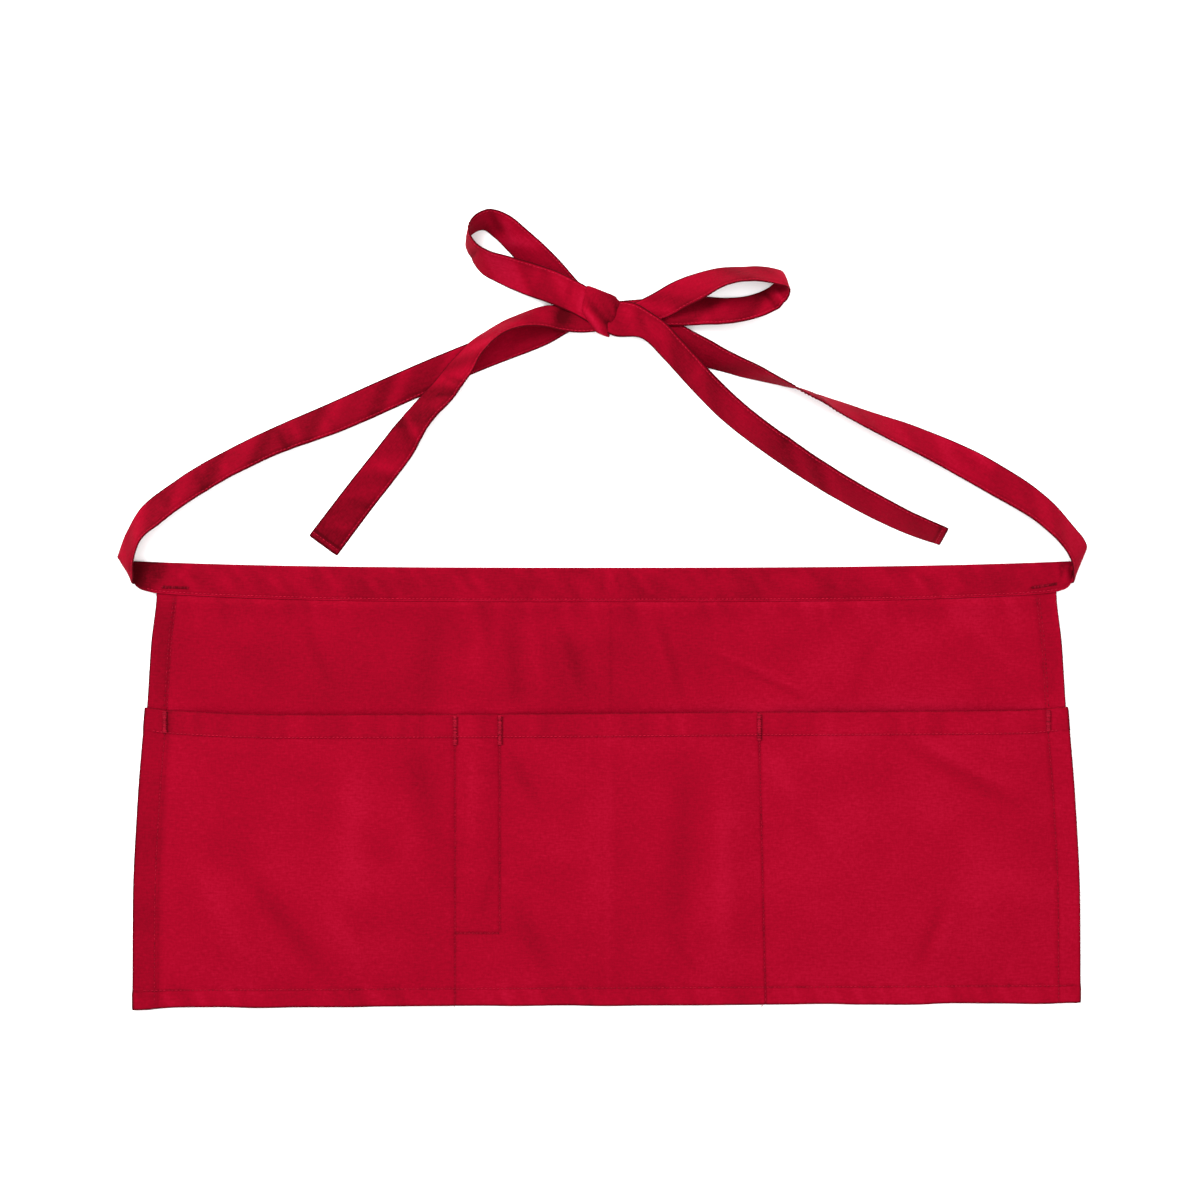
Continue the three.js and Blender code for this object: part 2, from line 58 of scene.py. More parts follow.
# Pockets
POCKET_DEPTH = 188.5 * MM
POCKET_OVERHANG = 1.5 * MM
MOUTH_HEM_WIDTH = 14 * MM
MOUTH_RISE_AT_SIDES = 3.6 * MM
PENCIL_SLOT_WIDTH = 29 * MM
PENCIL_SLOT_DEPTH = 142 * MM
PENCIL_SLOT_LEFT = -98 * MM
SLOT_RIGHT = PENCIL_SLOT_LEFT + PENCIL_SLOT_WIDTH
SLOT_BOTTOM = -APRON_DEPTH + POCKET_DEPTH - PENCIL_SLOT_DEPTH
SLOT_CREASE_Y = -122 * MM
RIGHT_DIVIDER_AT_MOUTH = 98.5 * MM
RIGHT_DIVIDER_AT_HEM = 103 * MM
POCKET_LIFT = 1.7 * MM
POCKET_BULGE = 5.0 * MM
PENCIL_SLOT_BULGE = 4.6 * MM
SEAM_SLOPE = 20 * MM
SLOT_SLOPE = 0.34 * PENCIL_SLOT_WIDTH
BOTTOM_SLOPE = 2.2 * SEAM_SLOPE
BULGE_AT_MOUTH = 0.86
MOUTH_SEAM_REACH = 294 * MM
HEM_SEAM_REACH = 300 * MM
SEAM_FOOT = -APRON_DEPTH + 1 * MM
STITCH_GROOVE = 0.32 * MM

# Waistband
BAND_LENGTH = 608 * MM
BAND_WIDTH = 22 * MM
BAND_SHIFT = -2.5 * MM
BAND_END_RISE = 4.2 * MM
BAND_HEIGHT = 3.5 * MM
BAND_EDGE_HEIGHT = 2.5 * MM
BAND_CLOTH = 0.8 * MM
BAND_FOLD_DEPTH = 1.45 * MM
BAND_SLOT_BASE = 1.3 * MM
BAND_STITCH_INSET = 1.5 * MM
PANEL_TUCK = 14 * MM
PANEL_SETTLE = 14 * MM

# Straps
STRAP_WIDTH = 22 * MM
STRAP_THICKNESS = 1.2 * MM
STRAP_LAYER = 1.45 * MM
STRAP_SEAM = 0.86
STRAP_SMOOTHING = 2.4 * MM
STRAP_SEAM_START = 14 * MM
END_SEAM_ROW = -3
KNOT_RISE = 176.5 * MM
KNOT_SHIFT = -2.3 * MM
LEFT_LOOP_REACH = 91 * MM
RIGHT_LOOP_REACH = 121 * MM
LEFT_TAIL_REACH = 236 * MM
RIGHT_TAIL_REACH = 265 * MM
KNOT_TURN = radians(-21.5)
WRAP_CLOTH = 0.8 * MM
WRAP_WEAVE = 80 * MM

# Stitching
STITCH_PITCH = 2.6 * MM
STITCH_LENGTH = 1.95 * MM
THREAD_RADIUS = 0.27 * MM
THREAD_LIFT = 0.12 * MM
THREAD_SIDES = 5
TACK_LENGTH = 13.5 * MM
TACK_WIDTH = 3.0 * MM
BAND_TACK_WIDTH = 2.1 * MM
TACK_PITCH = 0.56 * MM
TACK_SWAY = 0.12

# The grids: the usual step, the step near a seam, and how far from a seam that one reaches.
PANEL_ACROSS = (2.6 * MM, 0.7 * MM, 3 * MM)
PANEL_DOWN = (2.6 * MM, 1 * MM, 3 * MM)
POCKETS_ACROSS = (2.6 * MM, 0.7 * MM, 3.2 * MM)
POCKETS_DOWN = (1.3 * MM, 0.7 * MM, 2.8 * MM)
BAND_ALONG = (1 / 260, 1 / 620, 1 / 24)
# The waistband's way round, as shares: where its front leaf ends, where its fold ends, and the places by its
# lower edge, which are closer together.
FRONT_END = 0.5
FOLD_END = 0.62
BAND_EDGE_PLACES = (0, 0.004, 0.012, 0.03, 0.045, 0.06, 0.075)
# The places across a strap, from edge to edge.
STRAP_ACROSS = (-1, -0.97, -0.92, -0.86, -0.78, -0.55, -0.28, 0, 0.28, 0.55, 0.78, 0.86, 0.92, 0.97, 1)
STRAP_STEP = 1.5 * MM
WRAP_STEPS = 128
WRAP_ROWS = 33
# A thread's rings: the share of its length, and the size and rise in shares of its radius.
THREAD_RINGS = ((0.0, 0.25, -0.9), (0.14, 0.85, 0.0), (0.5, 1.0, 0.3), (0.86, 0.85, 0.0), (1.0, 0.25, -0.9))

# The short dense seams at the pockets' mouths: the seam that each is on and its length in mm.
SIDE_LEFT, SLOT_START, SLOT_END, DIVIDER, SIDE_RIGHT = range(1, 6)
MOUTH_TACKS = ((SIDE_LEFT, 13.5), (SLOT_START, 18.5), (SLOT_END, 18.5), (DIVIDER, 17), (SIDE_RIGHT, 13))
# The short seams at the waistband's ends: the middle, the direction in degrees and the length.
BAND_TACKS = ((-279.3 * MM, -1.9 * MM, -2, 16.8 * MM), (283.3 * MM, -0.8 * MM, 9, 15.5 * MM))
# Where loose ends of thread hang over the hem.
LOOSE_ENDS = (RIGHT_DIVIDER_AT_HEM - 2 * MM, PENCIL_SLOT_LEFT, -292 * MM)

# The panel's side edges: a share of the way down, and the share of the flare that is reached there.
FLARE = ((0, 0), (0.1, 0.22), (0.25, 0.4), (0.5, 0.77), (0.75, 0.98), (1, 1))
# The pockets' mouth: a share of the half width, and the rise there in shares of the rise at the sides.
MOUTH = ((-1, 1), (-0.94, 0.4), (-0.7, -0.35), (-0.25, -0.25), (0.3, 0.1), (0.9, 0.45), (1, 1.1))
# The way in from the waistband's ends, and how far its lower edge draws up there, both in mm.
BAND_CORNER = ((0, 9.5), (2, 6.4), (5, 4.2), (10, 2.9), (16, 1.9), (45, 1.0), (130, 0))

# Creases, in mm and degrees: the place of the middle, the direction, how far it reaches each way, its width
# and its height, which is below 0 for a hollow.
LEFT_STRAP_CREASES = (
    (-99, 132.5, -18, 6, 1.3, -0.55), (-99, 128, -10, 5, 1.8, 0.6),
    (-104, 122.5, 4, 7, 1.5, -0.5), (-125, 101, -66, 13, 2.3, 0.8),
    (-131, 99, -66, 12, 3.0, -0.4), (-108, 112, -80, 7, 2.5, 0.4),
    (-140, 74, -20, 9, 3.5, 0.5), (-158, 52, -20, 9, 3.5, -0.4),
    (-172, 38, -25, 9, 3.0, 0.4), (-209, 92.5, -58, 8, 2.0, -0.6),
    (-200, 98, -62, 9, 3.5, 0.6), (-178, 106, -60, 8, 2.6, -0.3),
    (-247, 75, -58, 9, 4.0, 0.35), (-262, 66, -58, 9, 3.5, -0.35),
    (-286, 55, -50, 9, 3.0, -0.3), (107.5, 182.5, -54, 7, 1.5, -1.0),
    (113, 184, -62, 6, 1.5, 0.9), (70, 174, -80, 9, 4.0, -0.4),
    (40, 176, -75, 9, 3.0, 0.4), (-29, 172.5, 72, 9, 4.5, -0.9),
)
RIGHT_STRAP_CREASES = (
    (244, 80.5, -40, 11, 3.5, 0.7), (232, 82, -40, 11, 4.0, -0.4),
    (-71.5, 233.5, -60, 8, 2.2, -0.9), (-62, 228, -60, 8, 3.0, 0.5),
    (-86, 213, 40, 5, 1.6, -0.8), (-45, 199, 70, 8, 3.5, 0.4),
    (-24, 188, 75, 9, 2.2, -0.5), (-16, 184, 80, 9, 1.6, 0.5),
    (22, 171, -65, 8, 2.4, -0.6), (30, 164, -50, 9, 2.6, 0.5),
    (118, 96, 60, 9, 4.0, -0.4), (60, 137, 60, 9, 3.5, 0.4),
)
# The main folds of the cloth between the waistband and the pockets' mouth.
PANEL_CREASES = (
    (-232, -28, 80, 12, 9, 0.6), (-187, -46, -67, 20, 4, -0.8),
    (-116, -55, 85, 28, 8, -0.6), (-84.5, -40, 88, 22, 5, 0.6),
    (-59.5, -52, -83, 26, 4.5, -0.8), (-45, -48, -80, 24, 4, 0.6),
    (-21.5, -48, -69, 19, 4, -1.1), (-9, -42, -74, 20, 4, 0.6),
    (35, -42, -73, 18, 4, 0.5), (42.5, -50, -73, 27, 3, -0.8),
    (100, -56, -25, 36, 3, 0.7), (105, -63, -25, 34, 3, -0.6),
    (167, -52, 70, 22, 4, -0.5), (192, -24, -60, 16, 4, 0.5),
    (249, -38, -45, 26, 4, 0.5),
)
# The main folds of the pockets.
POCKET_CREASES = (
    (-164, -157, -88, 45, 11, 1.0), (-116, -144, -80, 42, 9, -0.9),
    (-208, -219, -52, 44, 7, -1.1), (-249, -211, -62, 36, 8, 0.8),
    (-170, -228, -60, 22, 7, 0.7), (-5, -178, 90, 60, 8, 0.6),
    (48.5, -178, 87, 55, 10, -1.0), (75.5, -182, 90, 55, 7, 0.8),
    (-53.5, -127, -62, 18, 4, -0.7), (-47, -232, -64, 24, 6, -0.8),
    (50.5, -240, -55, 14, 3, -0.6), (228, -123.5, -28, 40, 5, -1.0),
    (232, -115, -28, 36, 5, 0.6), (209, -228, 69, 20, 4, -0.9),
    (218, -225, 69, 18, 5, 0.5), (117.5, -132, -60, 24, 6, 0.7),
    (130, -155, -60, 18, 5, -0.5), (-74.5, -194, 75, 20, 3.5, -0.8),
    (-87, -144, 88, 40, 4, 0.4),
)
BAND_CREASES = (
    (294.5, 6, 90, 6, 1.1, -0.9), (297.8, 5, 84, 7, 1.6, 0.5),
    (301, 5, 90, 8, 1.2, -0.6), (-2.5, 1, 90, 8, 0.9, -0.3),
    (7.5, 2, -68, 9, 1.0, -0.35), (2.5, 2, 90, 7, 2.4, 0.2),
    (-303.5, 5, 80, 9, 2.6, -0.8), (-295, 3, 75, 8, 2.2, 0.5),
    (-286, 6, 70, 7, 2.6, -0.5), (-274, 6, 60, 8, 3.0, 0.3),
)
# Painted shade and painted light on stretches of the straps: the middle in mm, the reach in mm and the
# change.
STRAP_SHADES = (
    (-178, 33, 38, -0.42), (-135, 88, 34, -0.22),
    (-225, 66, 60, -0.4), (-120, 116, 38, -0.25),
    (84, 206, 30, -0.4), (130, 90, 55, -0.16),
    (215, 36, 26, -0.25), (116, 199, 9, 0.45),
    (64, 147, 22, -0.25), (13, 177, 7, 0.3),
    (-27, 173, 7, -0.45), (-60, 226, 34, 0.26),
)

# The runs of the straps, close to the solids. Each row is one crosswise line of the strap: the place of its
# middle in shares of the sizes that its run follows, the height of its lower edge in strap layers, the
# direction in plan that it points in and how far it leans over, in degrees, and its share of the width.
LEFT_TIE = (
    (1.0144, 0.05, 0.3, 300, 14, 0.97), (1.015, 0.084, 0.1, 328, 50, 0.9),
    (1.0085, 0.127, 0, 338, 55, 0.9), (0.996, 0.18, 0, 334, 54, 0.9),
    (0.96, 0.255, 0, 320, 36, 0.94), (0.9, 0.335, 0, 302, 28, 0.86),
    (0.73, 0.5, 0, 298, 24, 0.84), (0.56, 0.62, 0, 294, 16, 0.94),
    (0.43, 0.72, 0, 294, 2, 0.9), (0.33, 0.795, 0, 293, 0, 0.88),
    (0.22, 0.87, 0.3, 291, 0, 0.86), (0.13, 0.925, 1.3, 290, 0, 0.78),
)
RIGHT_TIE = (
    (1.0145, 0.066, 0.3, 248, 12, 0.97), (1.0155, 0.105, 0.1, 232, 38, 0.95),
    (1.007, 0.139, 0, 224, 43, 0.95), (0.988, 0.18, 0, 220, 44, 0.94),
    (0.95, 0.25, 0, 232, 36, 0.94), (0.825, 0.395, 0, 241, 16, 0.94),
    (0.655, 0.54, 0, 247, 40, 0.95), (0.57, 0.6, 0, 250, 56, 0.96),
    (0.425, 0.71, 0, 248, 86, 0.96), (0.34, 0.765, 0, 244, 110, 0.95),
    (0.24, 0.83, 0, 243, 136, 0.93), (0.185, 0.875, 0.1, 237, 164, 0.85),
    (0.13, 0.93, 0.7, 236, 178, 0.78),
)
LEFT_TIE_PASS = (
    (-0.85, -0.23, 2, 287, 0, 0.56), (0, -0.06, 2, 283, 0, 0.58),
    (0.9, 0.03, 2, 275, 0, 0.62),
)
LEFT_TAIL_PASS = (
    (0.85, -0.08, 3, 290, 0, 0.6), (0, -0.26, 3, 281, 0, 0.6),
    (-0.8, -0.3, 3, 281, 0, 0.64),
)
RIGHT_TIE_PASS = (
    (0.9, -0.2, 1, 238, 180, 0.62), (0, 0.03, 1, 240, 180, 0.55),
    (-0.75, 0.5, 1, 232, 180, 0.6),
)
RIGHT_TAIL_PASS = (
    (-0.68, 0.34, 4, 249, 180, 0.88), (0, -0.06, 4, 247, 180, 0.84),
    (0.605, -0.23, 4, 243, 180, 1.12),
)
RIGHT_LOOP = (
    (0.31, 0, 1.9, 271, 0, 0.8), (0.52, 0.005, 0.4, 270, 18, 0.88),
    (0.73, 0.01, 0, 268, 36, 0.92), (0.86, 0.045, 0, 292, 42, 0.95),
    (0.95, 0.105, 0, 295, 46, 0.95), (0.985, 0.165, 0, 283, 57, 0.95),
    (0.92, 0.188, 0, 273, 58, 0.95), (0.75, 0.2, 0, 270, 60, 0.95),
    (0.62, 0.18, 0, 280, 50, 0.95), (0.52, 0.14, 0.5, 293, 34, 0.94),
    (0.41, 0.09, 2, 298, 16, 0.88), (0.3, 0.03, 3, 299, 3, 0.8),
)
LEFT_LOOP = (
    (0.38, 0.29, 0.6, 228, 172, 0.85), (0.6, 0.495, 0, 224, 147, 0.97),
    (0.73, 0.61, 0, 231, 140, 0.97), (0.83, 0.65, 0, 256, 126, 0.97),
    (0.92, 0.61, 0, 265, 116, 0.97), (0.965, 0.52, 0, 248, 111, 0.95),
    (0.92, 0.43, 0, 241, 114, 0.95), (0.85, 0.355, 0, 250, 130, 0.97),
    (0.72, 0.3, 0.2, 247, 144, 0.97), (0.55, 0.24, 1.6, 250, 162, 0.97),
    (0.33, 0.16, 4, 250, 178, 0.93),
)
LEFT_TAIL = (
    (0.14, -0.015, 2.9, 277, 28, 0.8), (0.25, -0.033, 2.3, 290, 62, 0.75),
    (0.31, -0.066, 1.9, 303, 60, 0.75), (0.35, -0.102, 1.6, 318, 48, 0.78),
    (0.39, -0.155, 1.4, 323, 36, 0.86), (0.44, -0.22, 1.3, 322, 32, 0.9),
    (0.5, -0.285, 0.9, 322, 34, 0.92), (0.56, -0.37, 0, 320, 10, 0.97),
    (0.665, -0.505, 0, 321, 0, 0.98), (0.767, -0.64, 0, 324, 0, 1),
)
RIGHT_TAIL = (
    (0.115, -0.04, 4.1, 234, 174, 0.76), (0.17, -0.093, 3.1, 226, 160, 0.8),
    (0.227, -0.156, 1.6, 225, 145, 0.9), (0.3, -0.23, 0.2, 228, 142, 0.95),
    (0.46, -0.352, 0, 235, 139, 0.97), (0.66, -0.474, 0, 241, 134, 0.97),
    (0.76, -0.523, 0, 244, 128, 0.97), (0.83, -0.55, 0, 246, 122, 0.97),
)

# The wrap as it goes round, from its upper fold over the face to its lower fold and back underneath: the way
# round as a share, and in mm the place across, the height, and the left and right edges.
KNOT_WRAP = (
    (0.0, 12.4, 4.2, -15.4, 4.6), (0.06, 12.0, 6.8, -16.2, 6.4),
    (0.16, 8.8, 8.4, -16.0, 8.6), (0.26, 2.0, 8.8, -15.0, 8.9),
    (0.36, -5.6, 8.5, -11.8, 8.2), (0.45, -11.4, 7.3, -5.0, 8.8),
    (0.52, -14.2, 4.6, 0.6, 9.8), (0.60, -12.2, 1.0, 0.0, 9.0),
    (0.75, 0.0, 0.9, -9.0, 7.0), (0.92, 11.2, 1.0, -12.0, 2.0),
)
# Folds across the wrap's face, in mm and degrees, like the other creases.
KNOT_CREASES = (
    (-9.5, 171.5, -50, 10, 2.3, 0.75), (-4.0, 173.5, -52, 11, 2.2, -0.6),
    (4.0, 178, -62, 9, 2.6, 0.3), (2.4, 164, -78, 6, 1.0, -1.0),
    (-2.5, 162, -40, 5, 1.2, 0.6), (8.0, 172, -75, 9, 1.4, -0.5),
)


# Curves and noise

def curve_through(knots, values, limited=True):
    """A smooth curve through values at given knots. A limited curve never swings past its values."""
    spans = np.diff(knots)
    rates = np.diff(values) / spans
    slopes = np.empty(len(values))
    slopes[0] = rates[0]
    slopes[-1] = rates[-1]
    before = rates[:-1]
    after = rates[1:]
    if limited:
        same_way = before * after > 0
        total = np.where(same_way, before + after, 1)
        slopes[1:-1] = np.where(same_way, 2 * before * after / total, 0)
    else:
        share = spans[:-1] / (spans[:-1] + spans[1:])
        slopes[1:-1] = before * (1 - share) + after * share

    def read(at):
        i = np.clip(np.searchsorted(knots, at) - 1, 0, len(spans) - 1)
        t = (at - knots[i]) / spans[i]
        start = (1 + 2 * t) * (1 - t) ** 2 * values[i] + t * (1 - t) ** 2 * spans[i] * slopes[i]
        end = t * t * (3 - 2 * t) * values[i + 1] + t * t * (t - 1) * spans[i] * slopes[i + 1]
        return start + end

    return read


flare_reached = curve_through(*np.transpose(FLARE))
mouth_rise = curve_through(*np.transpose(MOUTH))
band_corner = curve_through(*np.transpose(BAND_CORNER))


def part_way(low, high, value):
    return np.clip((value - low) / (high - low), 0, 1)


def smoothstep(low, high, value):
    t = part_way(low, high, value)
    return t * t * (3 - 2 * t)


def step_mm(low, high, value):
    """0 at low and 1 at high, which are in mm, and smooth between them."""
    return smoothstep(low * MM, high * MM, value)


def bell(distance, width):
    return np.exp(-((distance / width) ** 2))


def ridge(distance, width):
    """1 on a line and less beside it, with the width in mm."""
    return bell(distance, width * MM)


def noise(x, y, size_x, size_y, seed):
    """Smooth hills and hollows between -1 and 1, about size_x by size_y mm each. The seed picks a pattern."""
    cells = 128
    table = np.random.RandomState(seed).uniform(-1, 1, (cells, cells))
    u = x / (size_x * MM) + cells / 2
    v = y / (size_y * MM) + cells / 2
    i = np.floor(u).astype(int)
    j = np.floor(v).astype(int)
    s = u - i
    t = v - j
    s = s ** 3 * (s * (6 * s - 15) + 10)
    t = t ** 3 * (t * (6 * t - 15) + 10)

    def row(b):
        return table[i % cells, b % cells] * (1 - s) + table[(i + 1) % cells, b % cells] * s

    return row(j) * (1 - t) + row(j + 1) * t


def creases(x, y, table):
    """The height that a table's creases add at each place."""
    total = np.zeros_like(x)
    for cx, cy, direction, reach, width, height in table:
        turn = radians(direction)
        dx = x - cx * MM
        dy = y - cy * MM
        along = dx * cos(turn) + dy * sin(turn)
        aside = dy * cos(turn) - dx * sin(turn)
        total += height * MM * ridge(aside, width) * np.exp(-((along / (reach * MM)) ** 4))
    return total


def shades(x, y, table):
    """The change of tone that a table's stretches make at each place."""
    return sum(change * ridge(np.hypot(x - cx * MM, y - cy * MM), reach) for cx, cy, reach, change in table)


def smooth_along(values, reach):
    """Evens out a run of points, with reach in steps, and keeps its ends."""
    span = int(3 * reach)
    weights = np.exp(-0.5 * (np.arange(-span, span + 1) / reach) ** 2)
    weights /= weights.sum()
    before = 2 * values[:1] - values[span:0:-1]
    after = 2 * values[-1:] - values[-2 : -span - 2 : -1]
    padded = np.concatenate([before, values, after])
    return np.stack([np.convolve(column, weights, "valid") for column in padded.T], axis=1)


def way_along(points):
    """How far along a line of points each one is."""
    return np.concatenate([[0], np.cumsum(np.linalg.norm(np.diff(points, axis=0), axis=1))])


def stops_with_detail(stops, step, fine_step, fine_reach):
    """Places from the first stop to the last, closer together near every stop."""
    places = [stops[0]]
    for start, end in zip(stops[:-1], stops[1:]):
        while places[-1] < end - fine_step / 2:
            near = min(places[-1] - start, end - places[-1])
            places.append(min(end, places[-1] + (fine_step if near < fine_reach else step)))
        places[-1] = end
    return np.array(places)


def unit(vectors, least=0.0):
    """The vectors at a length of 1, apart from any that are shorter than least."""
    return vectors / np.maximum(np.linalg.norm(vectors, axis=-1, keepdims=True), least)


# Meshes

# How far a rim swells beyond the grids, as a share of the thickness, and how its painted shade, a dark
# outline, is shared out.
RIM_SWELL = 0.42
RIM_SHADE_INSIDE = 0.4
RIM_SHADE_OUTSIDE = 0.6


def grid(*parts):
    return np.stack(parts, axis=-1)


def grid_quads(index):
    """The faces of a grid of points."""
    return grid(index[:-1, :-1], index[1:, :-1], index[1:, 1:], index[:-1, 1:]).reshape(-1, 4)


def closed(rows):
    """The rows of an array with the first one again at the end."""
    return np.concatenate([rows, rows[:1]])


def add_object(name, data):
    made = bpy.data.objects.new(name, data)
    bpy.context.scene.collection.objects.link(made)
    return made


def add_piece(name, points, faces, weave, shade, material, node=None):
    mesh = bpy.data.meshes.new(name)
    points = np.array(points)
    points[:, 2] = np.maximum(points[:, 2], REST / 2)
    mesh.from_pydata(points.tolist(), [], faces)
    builder = bmesh.new()
    builder.from_mesh(mesh)
    bmesh.ops.recalc_face_normals(builder, faces=builder.faces)
    builder.to_mesh(mesh)
    builder.free()
    place = mesh.attributes.new("weave", "FLOAT_VECTOR", "POINT")
    place.data.foreach_set("vector", np.column_stack([weave, np.zeros(len(weave))]).ravel())
    tone = mesh.attributes.new("tone", "FLOAT", "POINT")
    tone.data.foreach_set("value", shade)
    mesh.shade_smooth()
    mesh.materials.append(material)
    piece = add_object(name, mesh)
    if node:
        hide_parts(node)
    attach(piece, "root")
    return piece


def shell(name, top, bottom, weave, shade, material, node, rim_shade):
    """A closed cloth from matching grids of points on its two faces, with a rounded rim."""
    columns, rows, _ = top.shape
    count = columns * rows
    index = np.arange(count).reshape(columns, rows)
    border = np.concatenate([index[:-1, 0], index[-1, :-1], index[:0:-1, -1], index[0, :0:-1]])
    bi, bj = np.unravel_index(border, index.shape)
    middle = (top + bottom) / 2
    inward = middle[np.clip(bi, 1, columns - 2), np.clip(bj, 1, rows - 2)]
    outward = unit(middle[bi, bj] - inward, 1e-9)
    thick = np.linalg.norm(top - bottom, axis=2)[bi, bj][:, None]
    rim = middle[bi, bj] + outward * thick * RIM_SWELL

    points = np.concatenate([top.reshape(-1, 3), bottom.reshape(-1, 3), rim])
    quads = grid_quads(index)
    ring = np.stack([border, 2 * count + np.arange(len(border)), border + count], axis=1)
    faces = np.concatenate([quads, quads[:, ::-1] + count, grid_quads(closed(ring))[:, ::-1]]).tolist()
    grid_weave = weave.reshape(-1, 2)
    all_weave = np.concatenate([grid_weave, grid_weave, weave[bi, bj]])
    # The rim is darkened by painted shade, a dark outline along the cloth's edges.
    shade[bi, bj] += rim_shade * RIM_SHADE_INSIDE
    grid_shade = shade.reshape(-1)
    all_shade = np.concatenate([grid_shade, grid_shade, shade[bi, bj] + rim_shade * RIM_SHADE_OUTSIDE])
    return add_piece(name, points, faces, all_weave, all_shade, material, node)


# Materials

# The cloth's colours from dark to light. Each piece's tone moves between them, so the ends carry painted
# shade and painted light as well as the cloth's own blotches.
CRIMSON = (0.173, 0.0003, 0.0078, 1)
CRIMSON_DEEP = (0.045, 0.0001, 0.0018, 1)
CRIMSON_PALE_AND_PAINTED_LIGHT = (0.3, 0.0038, 0.0235, 1)
THREAD_DEEP = (0.073, 0.0003, 0.0035, 1)
THREAD_WORN = (0.335, 0.0043, 0.0215, 1)
# The cloth's textures: the scale along and across the threads, the detail and the roughness.
SLUB = ((190, 900, 1), 3, 0.6)
WARP = ((900, 260, 1), 2, 0.6)
BLOTCH = ((26, 34, 1), 3, 0.5)
MOTTLE = ((520, 620, 1), 2, 0.5)
WEAVE_SCALE = 420.0
TWIST_SCALE = 1500.0


class Surface:
    """A new material and the nodes behind its shader."""

    def __init__(self, name):
        self.material = bpy.data.materials.new(name)
        self.material.use_nodes = True
        self.tree = self.material.node_tree
        self.shader = self.tree.nodes["Principled BSDF"]

    def connect(self, node, inputs):
        for socket, value in inputs.items():
            if isinstance(value, bpy.types.NodeSocket):
                self.tree.links.new(value, node.inputs[socket])
            else:
                node.inputs[socket].default_value = value

    def add(self, kind, inputs, output, **settings):
        node = self.tree.nodes.new("ShaderNode" + kind)
        for name, value in settings.items():
            setattr(node, name, value)
        self.connect(node, inputs)
        return node.outputs[output]

    def math(self, operation, first, second):
        return self.add("Math", {0: first, 1: second}, 0, operation=operation)

    def ramp(self, place, low, high, middle=None):
        colour = self.add("ValToRGB", {"Fac": place}, "Color")
        elements = colour.node.color_ramp.elements
        elements[0].color = low
        elements[1].color = high
        if middle:
            elements.new(0.5).color = middle
        return colour

    def bump(self, strength, distance, height):
        return self.add("Bump", {"Strength": strength, "Distance": distance, "Height": height}, "Normal")


def cloth_material(name, bump_strength):
    """Woven cotton: slubs along the threads, a fine weave, soft blotches, and each piece's tone, which holds
    painted light on ridges and painted shade in hollows, seams and edges.
    """
    surface = Surface(name)
    weave = surface.add("Attribute", {}, "Vector", attribute_name="weave")
    # The tone attribute: painted light and shade, with some tone that differs at random.
    value = surface.add("Attribute", {}, "Fac", attribute_name="tone")

    def texture(scale, detail, rough):
        place = surface.add("Mapping", {"Vector": weave, "Scale": scale}, "Vector")
        inputs = {"Vector": place, "Scale": 1.0, "Detail": detail, "Roughness": rough}
        return surface.add("TexNoise", inputs, "Fac")

    threads = surface.math("ADD", texture(*SLUB), surface.math("MULTIPLY", texture(*WARP), 0.6))
    for layer, middle, strength in (
        (threads, 0.8, 0.62), (texture(*BLOTCH), 0.5, 0.28), (texture(*MOTTLE), 0.5, 0.45),
    ):
        change = surface.math("MULTIPLY", surface.math("SUBTRACT", layer, middle), strength)
        value = surface.math("ADD", value, change)
    place = surface.math("ADD", surface.math("MULTIPLY", value, 0.5), 0.5)
    waves = [
        surface.add("TexWave", {"Vector": weave, "Scale": WEAVE_SCALE}, "Fac", bands_direction=axis)
        for axis in "XY"
    ]
    grain = surface.math("MULTIPLY", surface.math("MULTIPLY", *waves), 0.5)
    height = surface.math("ADD", grain, surface.math("MULTIPLY", threads, 0.9))
    surface.connect(surface.shader, {
        "Base Color": surface.ramp(place, CRIMSON_DEEP, CRIMSON_PALE_AND_PAINTED_LIGHT, CRIMSON),
        "Normal": surface.bump(bump_strength, 0.25 * MM, height),
        "Roughness": 0.8,
        "Specular IOR Level": 0.02,
        "Sheen Weight": 0.03,
        "Sheen Roughness": 0.4,
        "Sheen Tint": (1.0, 0.25, 0.35, 1),
    })
    return surface.material


def thread_material():
    surface = Surface("thread")
    places = surface.add("TexCoord", {}, "Object")
    tone = surface.add("Attribute", {}, "Fac", attribute_name="tone")
    twist = surface.add("TexNoise", {"Vector": places, "Scale": TWIST_SCALE, "Detail": 2.0}, "Fac")
    place = surface.math("ADD", surface.math("MULTIPLY", tone, 0.5), twist)
    surface.connect(surface.shader, {
        "Base Color": surface.ramp(place, THREAD_DEEP, THREAD_WORN),
        "Normal": surface.bump(0.4, 0.1 * MM, twist),
        "Roughness": 0.6,
        "Specular IOR Level": 0.04,
    })
    return surface.material


# Stitching

